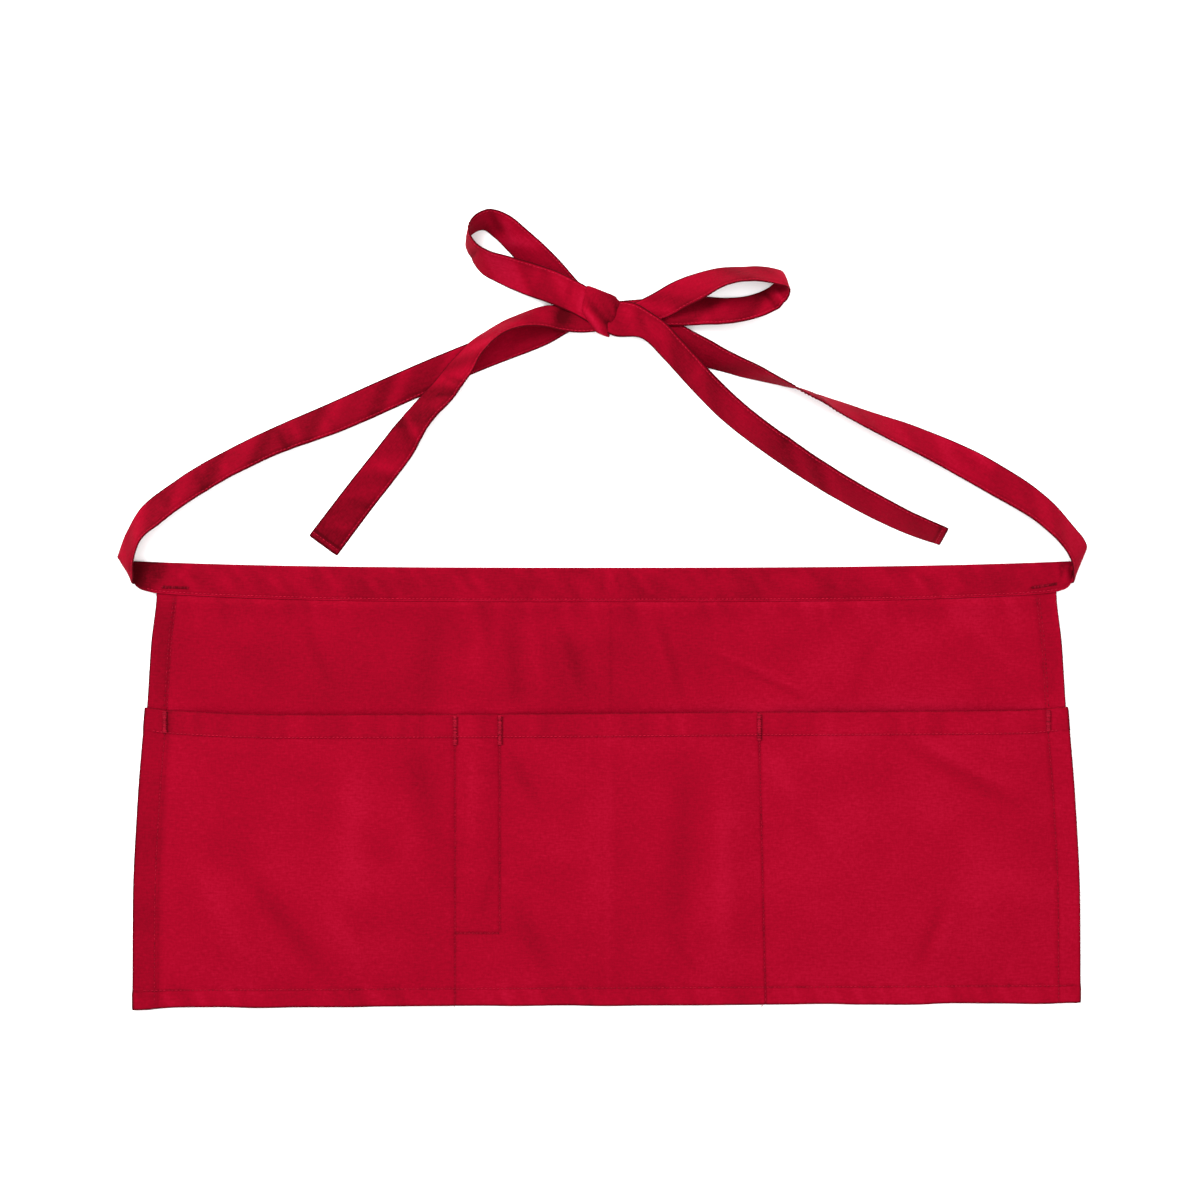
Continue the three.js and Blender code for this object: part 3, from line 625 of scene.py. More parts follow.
class Threads:
    """Gathers the threads that are sewn into one piece of cloth."""

    def __init__(self, seed):
        self.parts = []
        self.random = np.random.RandomState(seed)

    def run(self, points, ups, tone, pitch=STITCH_PITCH, length=STITCH_LENGTH):
        """A row of stitches along a line of points."""
        reach = way_along(points)
        count = int(reach[-1] / pitch)
        first = (np.arange(count) + 0.1) * pitch + self.random.uniform(-0.06, 0.06, count) * pitch

        def at(places, values):
            return np.stack([np.interp(places, reach, column) for column in values.T], axis=1)

        tones = tone + self.random.uniform(-0.35, 0.35, count)
        self.parts.append((at(first, points), at(first + length, points), at(first, ups), tones))

    def sew(self, x, y, height, tone, pitch=STITCH_PITCH):
        """A row of stitches on a surface, whose height is a function."""
        points = np.column_stack([x, y, height(x, y) + 0.1 * MM])
        self.run(points, np.tile(UP, (len(x), 1)), tone, pitch)

    def tack(self, x, y, direction, height, tone, length, width=TACK_WIDTH):
        """A dense zigzag across a line through a place."""
        turn = radians(direction)
        along = np.array([cos(turn), sin(turn)])
        aside = np.array([-along[1], along[0]])
        count = int(length / TACK_PITCH)
        places = (np.arange(count) / (count - 1) - 0.5) * length
        sway = np.where(np.arange(count) % 2, 1, -1) * TACK_SWAY * TACK_PITCH
        reach = width / 2 * self.random.uniform(0.65, 1.1, count)
        ends = []
        for shift, out in ((0, sway - reach), (TACK_PITCH / 2, sway + reach)):
            flat = np.array([x, y]) + (places + shift)[:, None] * along + out[:, None] * aside
            ends.append(np.column_stack([flat, height(*flat.T) + THREAD_LIFT]))
        self.parts.append((*ends, np.tile(UP, (count, 1)), tone + self.random.uniform(-0.7, 0.5, count)))

    def finish(self, name, material):
        """Makes the threads, each a small bead that sinks into the cloth at both ends."""
        starts, ends, ups, tones = (np.concatenate(part)[:, None, None] for part in zip(*self.parts))
        way = unit(ends - starts)
        aside = unit(np.cross(ups, way))
        ring_place, ring_size, ring_rise = np.array(THREAD_RINGS).T[..., None]
        angle = np.arange(THREAD_SIDES) * 2 * pi / THREAD_SIDES
        out = (ring_rise + ring_size * np.cos(angle))[..., None] * THREAD_RADIUS
        wide = (ring_size * np.sin(angle))[..., None] * THREAD_RADIUS
        points = starts + (ends - starts) * ring_place[..., None] + np.cross(way, aside) * out + aside * wide
        one = []
        size = len(THREAD_RINGS) * THREAD_SIDES
        for a in range(0, size - THREAD_SIDES, THREAD_SIDES):
            for k in range(THREAD_SIDES):
                m = (k + 1) % THREAD_SIDES
                one.append((a + k, a + m, a + THREAD_SIDES + m, a + THREAD_SIDES + k))
        one.append(range(THREAD_SIDES)[::-1])
        one.append(range(size - THREAD_SIDES, size))
        bases = range(0, len(starts) * size, size)
        faces = [[base + corner for corner in face] for base in bases for face in one]
        shade = np.repeat(tones, size)
        weave = np.zeros((len(shade), 2))
        return add_piece(name, points.reshape(-1, 3), faces, weave, shade, material)


def dashes(distance_along):
    """1 in a stitch's holes and 0 between them."""
    return 0.5 + 0.5 * np.cos(2 * pi * distance_along / STITCH_PITCH)


# Outlines, as in the solids

def band_middle(x):
    return BAND_END_RISE * np.abs((x - BAND_SHIFT) / (BAND_LENGTH / 2)) ** 3


def band_edge(x):
    return band_middle(x) - BAND_WIDTH / 2


def band_corner_rise(x):
    """How far the waistband's lower edge draws up near its ends."""
    from_end = BAND_LENGTH / 2 - np.abs(x - BAND_SHIFT)
    return band_corner(np.clip(from_end / MM, BAND_CORNER[0][0], BAND_CORNER[-1][0])) * MM


def hem_line(x):
    return -APRON_DEPTH + HEM_TILT * x / (HEM_WIDTH / 2)


def half_width(y):
    reached = flare_reached(part_way(-BAND_WIDTH / 2, -APRON_DEPTH, y))
    return (TOP_WIDTH + (HEM_WIDTH - TOP_WIDTH) * reached) / 2


def from_side(x, y):
    return half_width(y) - np.abs(x)


def pocket_mouth(x):
    line = -APRON_DEPTH + POCKET_DEPTH
    across = np.clip(x / (half_width(line) + POCKET_OVERHANG), -1, 1)
    return line + MOUTH_RISE_AT_SIDES * mouth_rise(across)


def right_divider(y):
    share = np.clip((y + APRON_DEPTH) / POCKET_DEPTH, 0, 1)
    return RIGHT_DIVIDER_AT_HEM + (RIGHT_DIVIDER_AT_MOUTH - RIGHT_DIVIDER_AT_HEM) * share


def hem_seam(x):
    return hem_line(x) + BOTTOM_HEM_WIDTH


def mouth_seam(x):
    return pocket_mouth(x) - MOUTH_HEM_WIDTH


def in_slot(x):
    return (x > PENCIL_SLOT_LEFT) & (x < SLOT_RIGHT)


# Panel

def hem_share(x, y):
    """1 on the panel's side hems and 0 inside them."""
    return 1 - smoothstep(SIDE_HEM_WIDTH - HEM_STEP, SIDE_HEM_WIDTH, from_side(x, y))


def panel_drag(x, y):
    return noise(x + y * 0.25, y, 6, 60, 6)


def panel_top(x, y):
    """The upper face: soft hills, puckers by the seams and the crease where it was folded for packing."""
    above_edge = y - band_edge(x)
    under_band = smoothstep(-PANEL_SETTLE, 0, above_edge)
    hem = (HEM_CLOTH - CLOTH) * hem_share(x, y)
    base = REST + CLOTH + (BAND_SLOT_BASE - REST) * under_band + hem * (1 - under_band)
    in_view = step_mm(-8, 4, y - pocket_mouth(x)) * (1 - step_mm(-3, 0, above_edge))
    from_seam = from_side(x, y) - SIDE_HEM_WIDTH
    hills = 0.25 * MM * (4 + noise(x, y, 40, 26, 3)) + 0.14 * MM * (1 + noise(x, y, 13, 10, 4))
    pucker = 0.24 * MM * (1 + noise(x, y, 30, 5, 5)) * ridge(from_seam, 7)
    drag = 0.4 * MM * (1 + panel_drag(x, y)) * ridge(above_edge, 20)
    fine = 0.3 * MM * (ridge(x - CREASE_X, 1.6) - ridge(from_seam, 0.9))
    relief = (hills + creases(x, y, PANEL_CREASES) + pucker + drag + fine) * in_view
    return base + np.maximum(relief, -DEEPEST_DENT)


def make_panel(cloth):
    half = TOP_WIDTH / 2
    stops = [-half, -half + SIDE_HEM_WIDTH, CREASE_X, half - SIDE_HEM_WIDTH, half]
    across = stops_with_detail(stops, *PANEL_ACROSS) / half
    depth = APRON_DEPTH + PANEL_TUCK - BAND_WIDTH / 2
    mouth = APRON_DEPTH - POCKET_DEPTH - BAND_WIDTH / 2 + PANEL_TUCK
    down = stops_with_detail([0, PANEL_TUCK, mouth, depth], *PANEL_DOWN) / depth
    share, fall = np.meshgrid(across, down, indexing="ij")
    x = share * half
    for _ in range(2):
        top_line = band_edge(x) + PANEL_TUCK
        y = top_line + (hem_line(x) - top_line) * fall
        x = share * half_width(y)
    z = panel_top(x, y)
    is_hem = hem_share(x, y)
    thickness = CLOTH + (HEM_CLOTH - CLOTH) * is_hem * (1 - step_mm(-40, -20, y))
    top = grid(x, y, z)
    bottom = grid(x, y, np.maximum(REST, z - thickness))

    side = from_side(x, y)
    above_mouth = y - pocket_mouth(x)
    above_edge = y - band_edge(x) - band_corner_rise(x)
    # Painted shade in the stitched valley of the side hems, stronger on the left.
    seam = ridge(side - SIDE_HEM_WIDTH, 0.8) * (0.35 + 0.65 * dashes(y))
    tone = -0.6 * seam * (0.7 + 0.3 * noise(x, y, 30, 9, 8)) * np.where(x > 0, 0.5, 1)
    # Painted shade beside the packing crease.
    tone -= 0.08 * ridge(x - CREASE_X - 1.2 * MM, 1.2)
    # Painted light just above the pockets' mouth, against their shadow, and tone that differs at random.
    tone += 0.16 * step_mm(14, 0, above_mouth) + 0.07 * noise(x, y, 28, 24, 9)
    # Painted light on the creases' ridges and painted shade in their hollows, and painted shade towards the
    # left.
    tone += 0.2 * creases(x, y, PANEL_CREASES) / MM - 0.15 * step_mm(140, 0, x)
    # Painted shade on the side hems, more on the left one.
    tone -= 0.15 * is_hem * (x < 0) + 0.1 * step_mm(0, 6, side) * is_hem
    # Painted light just under the waistband, against its shadow, and painted light and shade along the drag
    # lines.
    tone += 0.12 * ridge(above_edge, 1.6) + 0.16 * panel_drag(x, y) * ridge(above_edge, 20)
    # A painted shadow in the gap at the pockets' mouth.
    tone -= 0.2 * ridge(above_mouth - 0.1 * MM, 0.6)
    # The last value is the rim's painted shade, a dark outline.
    return shell("panel_cloth", top, bottom, grid(x, y), tone, cloth, "apron_panel", -1.3)


def side_seam(side, y_high, y_low):
    y = np.linspace(y_high, y_low, 120)
    return side * (half_width(y) - SIDE_HEM_WIDTH), y


def sew_panel(thread):
    threads = Threads(61)
    for side in (-1, 1):
        x, y = side_seam(side, -8.5 * MM, pocket_mouth(side * 280 * MM) + 1.5 * MM)
        threads.sew(x, y, panel_top, -0.25)
        threads.sew(x + side * 1.7 * MM, y, panel_top, -0.35, STITCH_PITCH * 1.15)
    return threads.finish("panel_stitches", thread)


# Pockets

def pocket_seams(y):
    """The places across of the pockets' edges and seams, from left to right."""
    side = half_width(y)
    return np.stack([
        -side - POCKET_OVERHANG,
        -side + SIDE_HEM_WIDTH,
        np.full_like(y, PENCIL_SLOT_LEFT),
        np.full_like(y, SLOT_RIGHT),
        right_divider(y),
        side - SIDE_HEM_WIDTH,
        side + POCKET_OVERHANG,
    ])


def pocket_stand_off(x, y):
    """How far the pockets' cloth stands off the panel, from seam to seam."""
    seams = pocket_seams(y)
    stand = np.zeros_like(x)
    for start in (SIDE_LEFT, SLOT_START, SLOT_END, DIVIDER):
        height, slope, bottom = POCKET_BULGE, SEAM_SLOPE, hem_seam(x)
        if start == SLOT_START:
            height, slope, bottom = PENCIL_SLOT_BULGE, SLOT_SLOPE, SLOT_BOTTOM
        left = np.maximum(x - seams[start], 0)
        right = np.maximum(seams[start + 1] - x, 0)
        above = np.maximum(y - bottom, 0)
        stand += height * np.tanh(left / slope) * np.tanh(right / slope) * np.tanh(above / BOTTOM_SLOPE)
    return stand * (BULGE_AT_MOUTH + (1 - BULGE_AT_MOUTH) * step_mm(0, 30, pocket_mouth(x) - y))


def from_pocket_stitches(x, y):
    """The distance to the nearest vertical seam that is sewn at this height."""
    seams = pocket_seams(y)
    whole = np.abs(x - seams[[SIDE_LEFT, SLOT_START, DIVIDER, SIDE_RIGHT]]).min(axis=0)
    return np.minimum(whole, np.hypot(x - seams[SLOT_END], np.maximum(SLOT_BOTTOM - y, 0)))


def hem_drag(x, y):
    return noise(x + (y - hem_seam(x)) * 0.5, y, 5.2, 60, 14)


def mouth_drag(x, y):
    return noise(x, y, 6, 30, 15)


def pocket_under(x, y):
    """The lower face, with hills and folds, puckers by the seams and the crease from packing."""
    near = from_pocket_stitches(x, y)
    hills = 0.35 * MM * noise(x, y, 46, 34, 11) + 0.2 * MM * noise(x, y, 16, 13, 12)
    relief = (hills + creases(x, y, POCKET_CREASES)) * (1 - 0.9 * ridge(near, 6))
    relief += 0.3 * MM * noise(x, y, 30, 5.5, 13) * ridge(near, 8)
    relief += 0.34 * MM * hem_drag(x, y) * ridge(y - hem_seam(x) + 3 * MM, 9)
    relief += 0.26 * MM * mouth_drag(x, y) * ridge(y - mouth_seam(x), 7)
    relief += 0.35 * MM * ridge(x - CREASE_X, 2)
    on_hem = 1 - smoothstep(SIDE_HEM_WIDTH, SIDE_HEM_WIDTH + 3 * MM, from_side(x, y))
    base = POCKET_LIFT + (HEM_CLOTH - CLOTH) * on_hem
    return base + np.maximum(pocket_stand_off(x, y) + relief, 0)


def pocket_top(x, y):
    """The upper face, which is higher at the double hems and pressed in by the stitching."""
    above_hem = y - hem_seam(x)
    above_mouth_seam = y - mouth_seam(x)
    double = smoothstep(-HEM_STEP, 0, above_mouth_seam) + smoothstep(-HEM_STEP, 0, -above_hem)
    thickness = CLOTH + (HEM_CLOTH - CLOTH) * np.clip(double, 0, 1)
    groove = ridge(from_pocket_stitches(x, y), 0.9) + ridge(y - SLOT_BOTTOM, 0.9) * in_slot(x)
    groove += 0.6 * ridge(above_hem, 0.8) + 0.3 * ridge(above_mouth_seam, 0.8)
    return pocket_under(x, y) + thickness - STITCH_GROOVE * np.minimum(groove, 1)


def tack_places():
    """The middles and lengths of the short dense seams at the pockets' mouths."""
    across = pocket_seams(np.array([-APRON_DEPTH + POCKET_DEPTH - TACK_LENGTH]))[:, 0]
    return [
        (across[seam], pocket_mouth(across[seam]) - 0.8 * MM - length * MM / 2, length * MM)
        for seam, length in MOUTH_TACKS
    ]


def make_pockets(cloth):
    stops = pocket_seams(np.array([-APRON_DEPTH + POCKET_DEPTH]))[:, 0]
    places = stops_with_detail(stops, *POCKETS_ACROSS)
    index = np.clip(np.searchsorted(stops, places, side="right") - 1, 0, len(stops) - 2)
    share = (places - stops[index]) / np.diff(stops)[index]
    slot_down = POCKET_DEPTH - (APRON_DEPTH + SLOT_BOTTOM)
    row_stops = [0, MOUTH_HEM_WIDTH, slot_down, POCKET_DEPTH - BOTTOM_HEM_WIDTH, POCKET_DEPTH]
    down = stops_with_detail(row_stops, *POCKETS_DOWN)
    x = np.repeat(places[:, None], len(down), axis=1)
    column = np.arange(len(places))
    for _ in range(2):
        y = pocket_mouth(x) - down * (pocket_mouth(x) - hem_line(x)) / POCKET_DEPTH
        seams = pocket_seams(y)
        left = seams[index, column]
        x = left + (seams[index + 1, column] - left) * share[:, None]
    wander = 0.45 * MM * noise(x, y * 0, 28, 1, 16) - 1.0 * MM * step_mm(-275, -300, x)
    moved = y + wander * step_mm(20, 0, y - hem_line(x))
    top = grid(x, moved, pocket_top(x, y))
    bottom = grid(x, moved, pocket_under(x, y))

    below_mouth = pocket_mouth(x) - y
    above_hem = y - hem_seam(x)
    side = from_side(x, y)
    # A random spread of the painted shade in the stitched grooves.
    seam_shade_spread = 0.65 + 0.35 * noise(x, y, 9, 9, 17)
    holes = 0.5 + 0.5 * dashes(y)
    by_divider = np.abs(x - right_divider(y)) < SEAM_SLOPE
    # Painted shade in the stitched grooves of the seams, strongest by the right divider.
    tone = -0.8 * ridge(from_pocket_stitches(x, y), 0.9) * holes * seam_shade_spread * np.where(by_divider, 1, 0.75)
    # Painted shade in the seam at the slot's bottom and along the slot's crease.
    tone -= (0.5 * ridge(y - SLOT_BOTTOM, 0.8) + 0.15 * ridge(y - SLOT_CREASE_Y, 0.8)) * in_slot(x)
    # Painted light on the creases' ridges and painted shade in their hollows, and painted light towards the
    # right.
    tone += 0.19 * creases(x, y, POCKET_CREASES) / MM - 0.03 + 0.08 * step_mm(0, 150, x)
    # Painted light and shade along the drag lines below the mouth.
    tone += 0.1 * mouth_drag(x, y) * step_mm(18, 14, below_mouth)
    # Painted shade on the mouth's hem strip.
    tone -= 0.08 * step_mm(15, 13, below_mouth)
    tone += 0.06 * noise(x, y, 30, 24, 18)
    # Painted shade in the hem's stitched groove.
    tone -= 0.62 * ridge(above_hem, 0.7) * (0.6 + 0.4 * dashes(x)) * seam_shade_spread
    # A painted dark outline at the bottom edge.
    tone -= 0.55 * ridge(y - hem_line(x), 0.7)
    # Painted light and shade along the puckers above the hem.
    tone += 0.16 * hem_drag(x, y) * step_mm(6, -1, above_hem)
    # Painted shade in the mouth hem's stitched groove.
    tone -= 0.1 * ridge(y - mouth_seam(x), 0.7) * seam_shade_spread
    # A painted dark outline along the side edges.
    tone -= 0.6 * ridge(side + POCKET_OVERHANG, 0.8)
    # Painted shade on the left side hem, lighter near the mouth, painted shade in the valley beside its seam,
    # and a painted highlight along the packing crease.
    on_side = smoothstep(SIDE_HEM_WIDTH, SIDE_HEM_WIDTH - 2 * MM, side)
    left_side = on_side * (0.14 * step_mm(16, 14, below_mouth) - 0.25)
    left_side -= 0.3 * ridge(side - SIDE_HEM_WIDTH - 2.2 * MM, 1.6)
    tone += left_side * (x < 0) + 0.1 * ridge(x - CREASE_X, 1.8)
    # Painted shadow beside the short seams at the mouth, mostly on their right.
    for tack_x, tack_y, length in tack_places():
        aside = x - tack_x
        beside = ridge(aside - TACK_WIDTH / 2, 0.7) + 0.25 * ridge(aside + TACK_WIDTH / 2, 0.6)
        tone -= 0.8 * beside * (np.abs(y - tack_y) < length / 2)
    # The last value is the rim's painted shade, a dark outline.
    return shell("pocket_cloth", top, bottom, grid(x, y), tone, cloth, "pocket_panel", -0.35)


def sew_pockets(thread):
    threads = Threads(62)
    tacks = tack_places()
    lows = [tack_y - length / 2 for _, tack_y, length in tacks]
    for side, low in ((-1, lows[0]), (1, lows[-1])):
        threads.sew(*side_seam(side, low, SEAM_FOOT), pocket_top, -0.2)
    for seam, high, low in (
        (SLOT_START, lows[1], SEAM_FOOT),
        (SLOT_END, lows[2], SLOT_BOTTOM),
        (DIVIDER, lows[3], SEAM_FOOT - 0.5 * MM),
    ):
        y = np.linspace(high, low, 90)
        threads.sew(pocket_seams(y)[seam], y, pocket_top, -0.25)
    x = np.linspace(PENCIL_SLOT_LEFT, SLOT_RIGHT, 20)
    threads.sew(x, np.full_like(x, SLOT_BOTTOM), pocket_top, -0.2)
    x = np.linspace(-HEM_SEAM_REACH, HEM_SEAM_REACH, 400)
    threads.sew(x, hem_seam(x), pocket_top, 0.0)
    x = np.linspace(-MOUTH_SEAM_REACH, MOUTH_SEAM_REACH, 400)
    threads.sew(x, mouth_seam(x), pocket_top, 0.35)
    for tack_x, tack_y, length in tacks:
        threads.tack(tack_x, tack_y, 90, pocket_top, 0.2, length)
    for end_x in LOOSE_ENDS:
        tail = np.array([(0, 1, 3.2), (-0.6, -1.4, 2.4)]) * MM + (end_x, -APRON_DEPTH, 0)
        threads.run(tail, np.tile(UP, (2, 1)), -0.3, 2.4 * MM, 2.3 * MM)
    return threads.finish("pocket_stitches", thread)


# Waistband

def band_end(side):
    return BAND_SHIFT + side * BAND_LENGTH / 2


def band_drag(x, local):
    return noise(x + local * 0.7, local, 6.3, 11, 21)


def band_front(x, y):
    """The height of the band's front leaf, with its drag lines and creases."""
    local = y - band_middle(x)
    up = np.clip((local + BAND_WIDTH / 2) / (BAND_WIDTH - BAND_HEIGHT / 2), 0, 1)
    rise = BAND_EDGE_HEIGHT + (BAND_HEIGHT - BAND_EDGE_HEIGHT) * np.sin(pi * np.minimum(up, 0.5))
    relief = 0.17 * MM * band_drag(x, local) + 0.24 * MM * noise(x, local, 30, 16, 22)
    relief += creases(x, local, BAND_CREASES)
    return rise - 0.3 * MM * smoothstep(0.7, 1, up) + relief * np.sin(pi * up) ** 0.5


def band_stitch_line(x):
    return band_edge(x) + BAND_STITCH_INSET + band_corner_rise(x)


def make_band(cloth):
    """The binding over the panel's top edge, from its front leaf over the fold to its back leaf."""
    x = stops_with_detail([-0.5, 0.5], *BAND_ALONG) * BAND_LENGTH + BAND_SHIFT
    around = np.concatenate([
        BAND_EDGE_PLACES,
        np.linspace(0.1, FRONT_END, 22),
        np.linspace(FRONT_END, FOLD_END, 9)[1:],
        np.linspace(FOLD_END, 1, 12)[1:],
    ])
    x, along = np.meshgrid(x, around, indexing="ij")
    is_front = along < FRONT_END
    is_back = along > FOLD_END
    turned = part_way(FRONT_END, FOLD_END, along)
    half = BAND_WIDTH / 2
    flat = BAND_WIDTH - BAND_FOLD_DEPTH
    local = -half + flat * part_way(0, FRONT_END, along) + BAND_FOLD_DEPTH * np.sin(turned * pi)
    local -= flat * part_way(FOLD_END, 1, along)
    local += band_corner_rise(x) * np.clip((half * 0.7 - local) / (half * 1.7), 0, 1)
    middle = band_middle(x)
    leaf = band_front(x, middle + np.minimum(local, -half + flat))
    leaf_end = band_front(x[:, :1], middle[:, :1] - half + flat)
    fold = REST + (leaf_end - REST) * (1 + np.cos(turned * pi)) / 2
    z = np.where(is_back, REST, np.where(along <= FRONT_END, leaf, fold))
    outer = grid(x, middle + local, z)
    normal = unit(np.cross(np.gradient(outer, axis=0), np.gradient(outer, axis=1)), 1e-12)
    inner = outer - normal * BAND_CLOTH
    inner[..., 2] = np.where(is_back, REST + BAND_CLOTH, np.maximum(inner[..., 2], REST))

    y = middle + local
    above_stitches = y - band_stitch_line(x)
    outer[..., 2] -= 0.18 * MM * ridge(above_stitches, 0.6) * is_front
    # Painted light and shade along the creases, and a lighter line just below the stitching.
    tone = 0.45 * creases(x, local, BAND_CREASES) / MM + 0.25 * ridge(above_stitches + 1.1 * MM, 0.5)
    # Darker under the short seams at the ends.
    for tack_x, tack_y, direction, length in BAND_TACKS:
        turn = radians(direction)
        aside = (y - tack_y) * cos(turn) - (x - tack_x) * sin(turn)
        tone -= 0.9 * ridge(aside, 0.7) * (np.abs(x - tack_x) < length / 2)
    # Only the front leaf keeps these; the band is darker overall, with painted light towards its right end.
    tone = tone * is_front - 0.2 + 0.08 * step_mm(100, 250, x)
    # Painted shade on the fold over the band's top edge.
    tone -= 0.75 * smoothstep(0.15, 0.8, turned) * ~is_back
    # A painted shadow of the strap's fold on the band's left end.
    tone -= 0.75 * step_mm(22, 9, x - band_end(-1) - 0.4 * local)
    # Painted shade on the last few mm of the right end.
    tone -= 0.12 * step_mm(8, 3, band_end(1) - x)
    # Painted light and shade along the drag lines, and tone that differs at random.
    tone += 0.16 * band_drag(x, local) + 0.06 * noise(x, y, 30, 30, 24)
    weave = grid(x, along * 2 * BAND_WIDTH)
    # The last value is the rim's painted shade, a dark outline.
    return shell("band_cloth", outer, inner, weave, tone, cloth, "waistband", -0.15)


def sew_band(thread):
    threads = Threads(63)
    x = np.linspace(band_end(-1) + 9 * MM, band_end(1) - 9 * MM, 500)
    threads.sew(x, band_stitch_line(x), band_front, 0.5)
    for tack_x, tack_y, direction, length in BAND_TACKS:
        threads.tack(tack_x, tack_y, direction, band_front, -0.7, length, BAND_TACK_WIDTH)
    return threads.finish("band_stitches", thread)


# Straps

def placed(rows, across, upward, base=KNOT_RISE):
    """Turns a run's shares into places, heights, directions in radians and widths."""
    return [
        (KNOT_SHIFT + out * across, base + up * upward, layer * STRAP_LAYER,
         radians(facing), radians(lean), spread * STRAP_WIDTH)
        for out, up, layer, facing, lean, spread in rows
    ]


def tucked_end(side):
    """Where a strap comes out of the waistband, drawn together by the fold."""
    rows = []
    for x, width in ((side * (TOP_WIDTH / 2 + 1.2 * MM), 15 * MM), (band_end(side), 12.5 * MM)):
        rows.append((x, band_middle(x) + 3.4 * MM, BAND_SLOT_BASE, radians(270), 0.0, width))
    return rows


def strap_run(side, tie, tie_pass, loop_reach, loop, tail_pass, tail_reach, tail):
    """From the waistband to the knot, round the loop on its far side, and out again as a tail."""
    return (
        tucked_end(side)
        + placed(tie, band_end(side) - KNOT_SHIFT, KNOT_RISE, 0)
        + placed(tie_pass, STRAP_WIDTH, STRAP_WIDTH)
        + placed(loop, -side * loop_reach, loop_reach)
        + placed(tail_pass, STRAP_WIDTH, STRAP_WIDTH)
        + placed(tail, side * tail_reach, tail_reach)
    )


def strap_edges(rows):
    """The two edges of a strap, evened out, at equal steps of its run."""
    rows = np.array(rows)
    knots = way_along(rows[:, :3])
    at = np.linspace(0, knots[-1], int(knots[-1] / STRAP_STEP))
    x, y = (curve_through(knots, column, False)(at) for column in rows.T[:2])
    lift, facing, lean, width = (curve_through(knots, column)(at) for column in rows.T[2:])
    height = lift + width / 2 * np.abs(np.sin(lean)) + STRAP_THICKNESS / 2 * np.abs(np.cos(lean)) + REST
    middle = grid(x, y, height)
    flat = np.cos(lean)
    ruling = grid(flat * np.cos(facing), flat * np.sin(facing), np.sin(lean))
    reach = STRAP_SMOOTHING / STRAP_STEP
    near = smooth_along(middle - ruling * width[:, None] / 2, reach)
    far = smooth_along(middle + ruling * width[:, None] / 2, reach)
    return at, near, far, width


def make_strap(name, node, cloth, thread, seed, crease_table, *run_parts):
    at, near, far, width = strap_edges(strap_run(*run_parts))
    s, across = np.meshgrid(at, STRAP_ACROSS, indexing="ij")
    mix = (across[..., None] + 1) / 2
    centre = near[:, None] * (1 - mix) + far[:, None] * mix
    run = np.gradient((near + far) / 2, axis=0)
    normal = unit(smooth_along(unit(np.cross(far - near, run)), 1.5))
    outward = normal[:, None]

    gathered = np.clip(1 - width / STRAP_WIDTH, 0, 0.5)[:, None]
    place = across * STRAP_WIDTH / 2
    bands = noise(s + place * 0.9, across * 0, 12, 1, seed)
    crumple = gathered * 2.2 * MM * noise(s, place, 15, 4.5, seed + 1)
    ripple = 0.12 * MM * noise(s, place, 5, 5, seed + 2)
    edge = smoothstep(1, 0.86, np.abs(across))
    facing_up = np.where(outward[..., 2] >= 0, 1.0, -1.0)
    curl = 0.35 * MM * (0.4 - across ** 2) * facing_up
    folds = 1.6 * creases(centre[..., 0], centre[..., 1], crease_table)
    offset = (0.42 * MM * bands + crumple + ripple) * (0.45 + 0.55 * edge) + curl
    offset += folds * facing_up * (0.5 + 0.5 * edge)
    centre = centre + outward * offset[..., None]
    thickness = STRAP_THICKNESS * (0.55 + 0.45 * edge) - 0.3 * MM * bell(across - STRAP_SEAM, 0.035)
    top = centre + outward * (thickness / 2)[..., None]
    bottom = centre - outward * (thickness / 2)[..., None]
    lifted = np.maximum(REST - np.minimum(top[..., 2], bottom[..., 2]), 0)
    top[..., 2] += lifted
    bottom[..., 2] += lifted

    to_end = at[-1] - s
    # Painted light and shade along the soft bends, the creases and the stretches in STRAP_SHADES; the straps
    # are a little darker overall.
    tone = 0.3 * bands + 0.3 * folds / MM + shades(centre[..., 0], centre[..., 1], STRAP_SHADES) - 0.16
    # A painted highlight on the fold beside the seam, and painted shade in the seam's groove.
    tone += 0.15 * bell(across - STRAP_SEAM - 0.02, 0.03) - 0.2 * bell(across - STRAP_SEAM + 0.07, 0.035)
    # Painted shade at both edges, a dark outline.
    tone -= 1.2 * smoothstep(0.93, 0.975, -across) + 1.0 * smoothstep(0.94, 0.98, across)
    # Near the end, a painted highlight on the fold and painted shade in the end seam's groove.
    tone += 0.35 * ridge(to_end - 2.2 * MM, 0.9) - 0.7 * ridge(to_end - 4.0 * MM, 0.7)
    weave = grid(s, place)
    # The last value is the rim's painted shade, a dark outline.
    strap = shell(name, top, bottom, weave, tone, cloth, node, -1.6)

    threads = Threads(seed + 30)
    sewn = slice(int(STRAP_SEAM_START / STRAP_STEP), END_SEAM_ROW)
    column = STRAP_ACROSS.index(STRAP_SEAM)
    for face, way in ((top, normal), (bottom, -normal)):
        threads.run(face[sewn, column] + way[sewn] * THREAD_LIFT, way[sewn], 0.25)
        end_row = face[END_SEAM_ROW, 1:-1] + way[END_SEAM_ROW] * THREAD_LIFT
        threads.run(end_row, np.tile(way[END_SEAM_ROW], (len(end_row), 1)), 0.2)
    stitches = threads.finish(name.replace("strap", "strap_stitches"), thread)
    return strap, stitches, at[-1]


# Knot

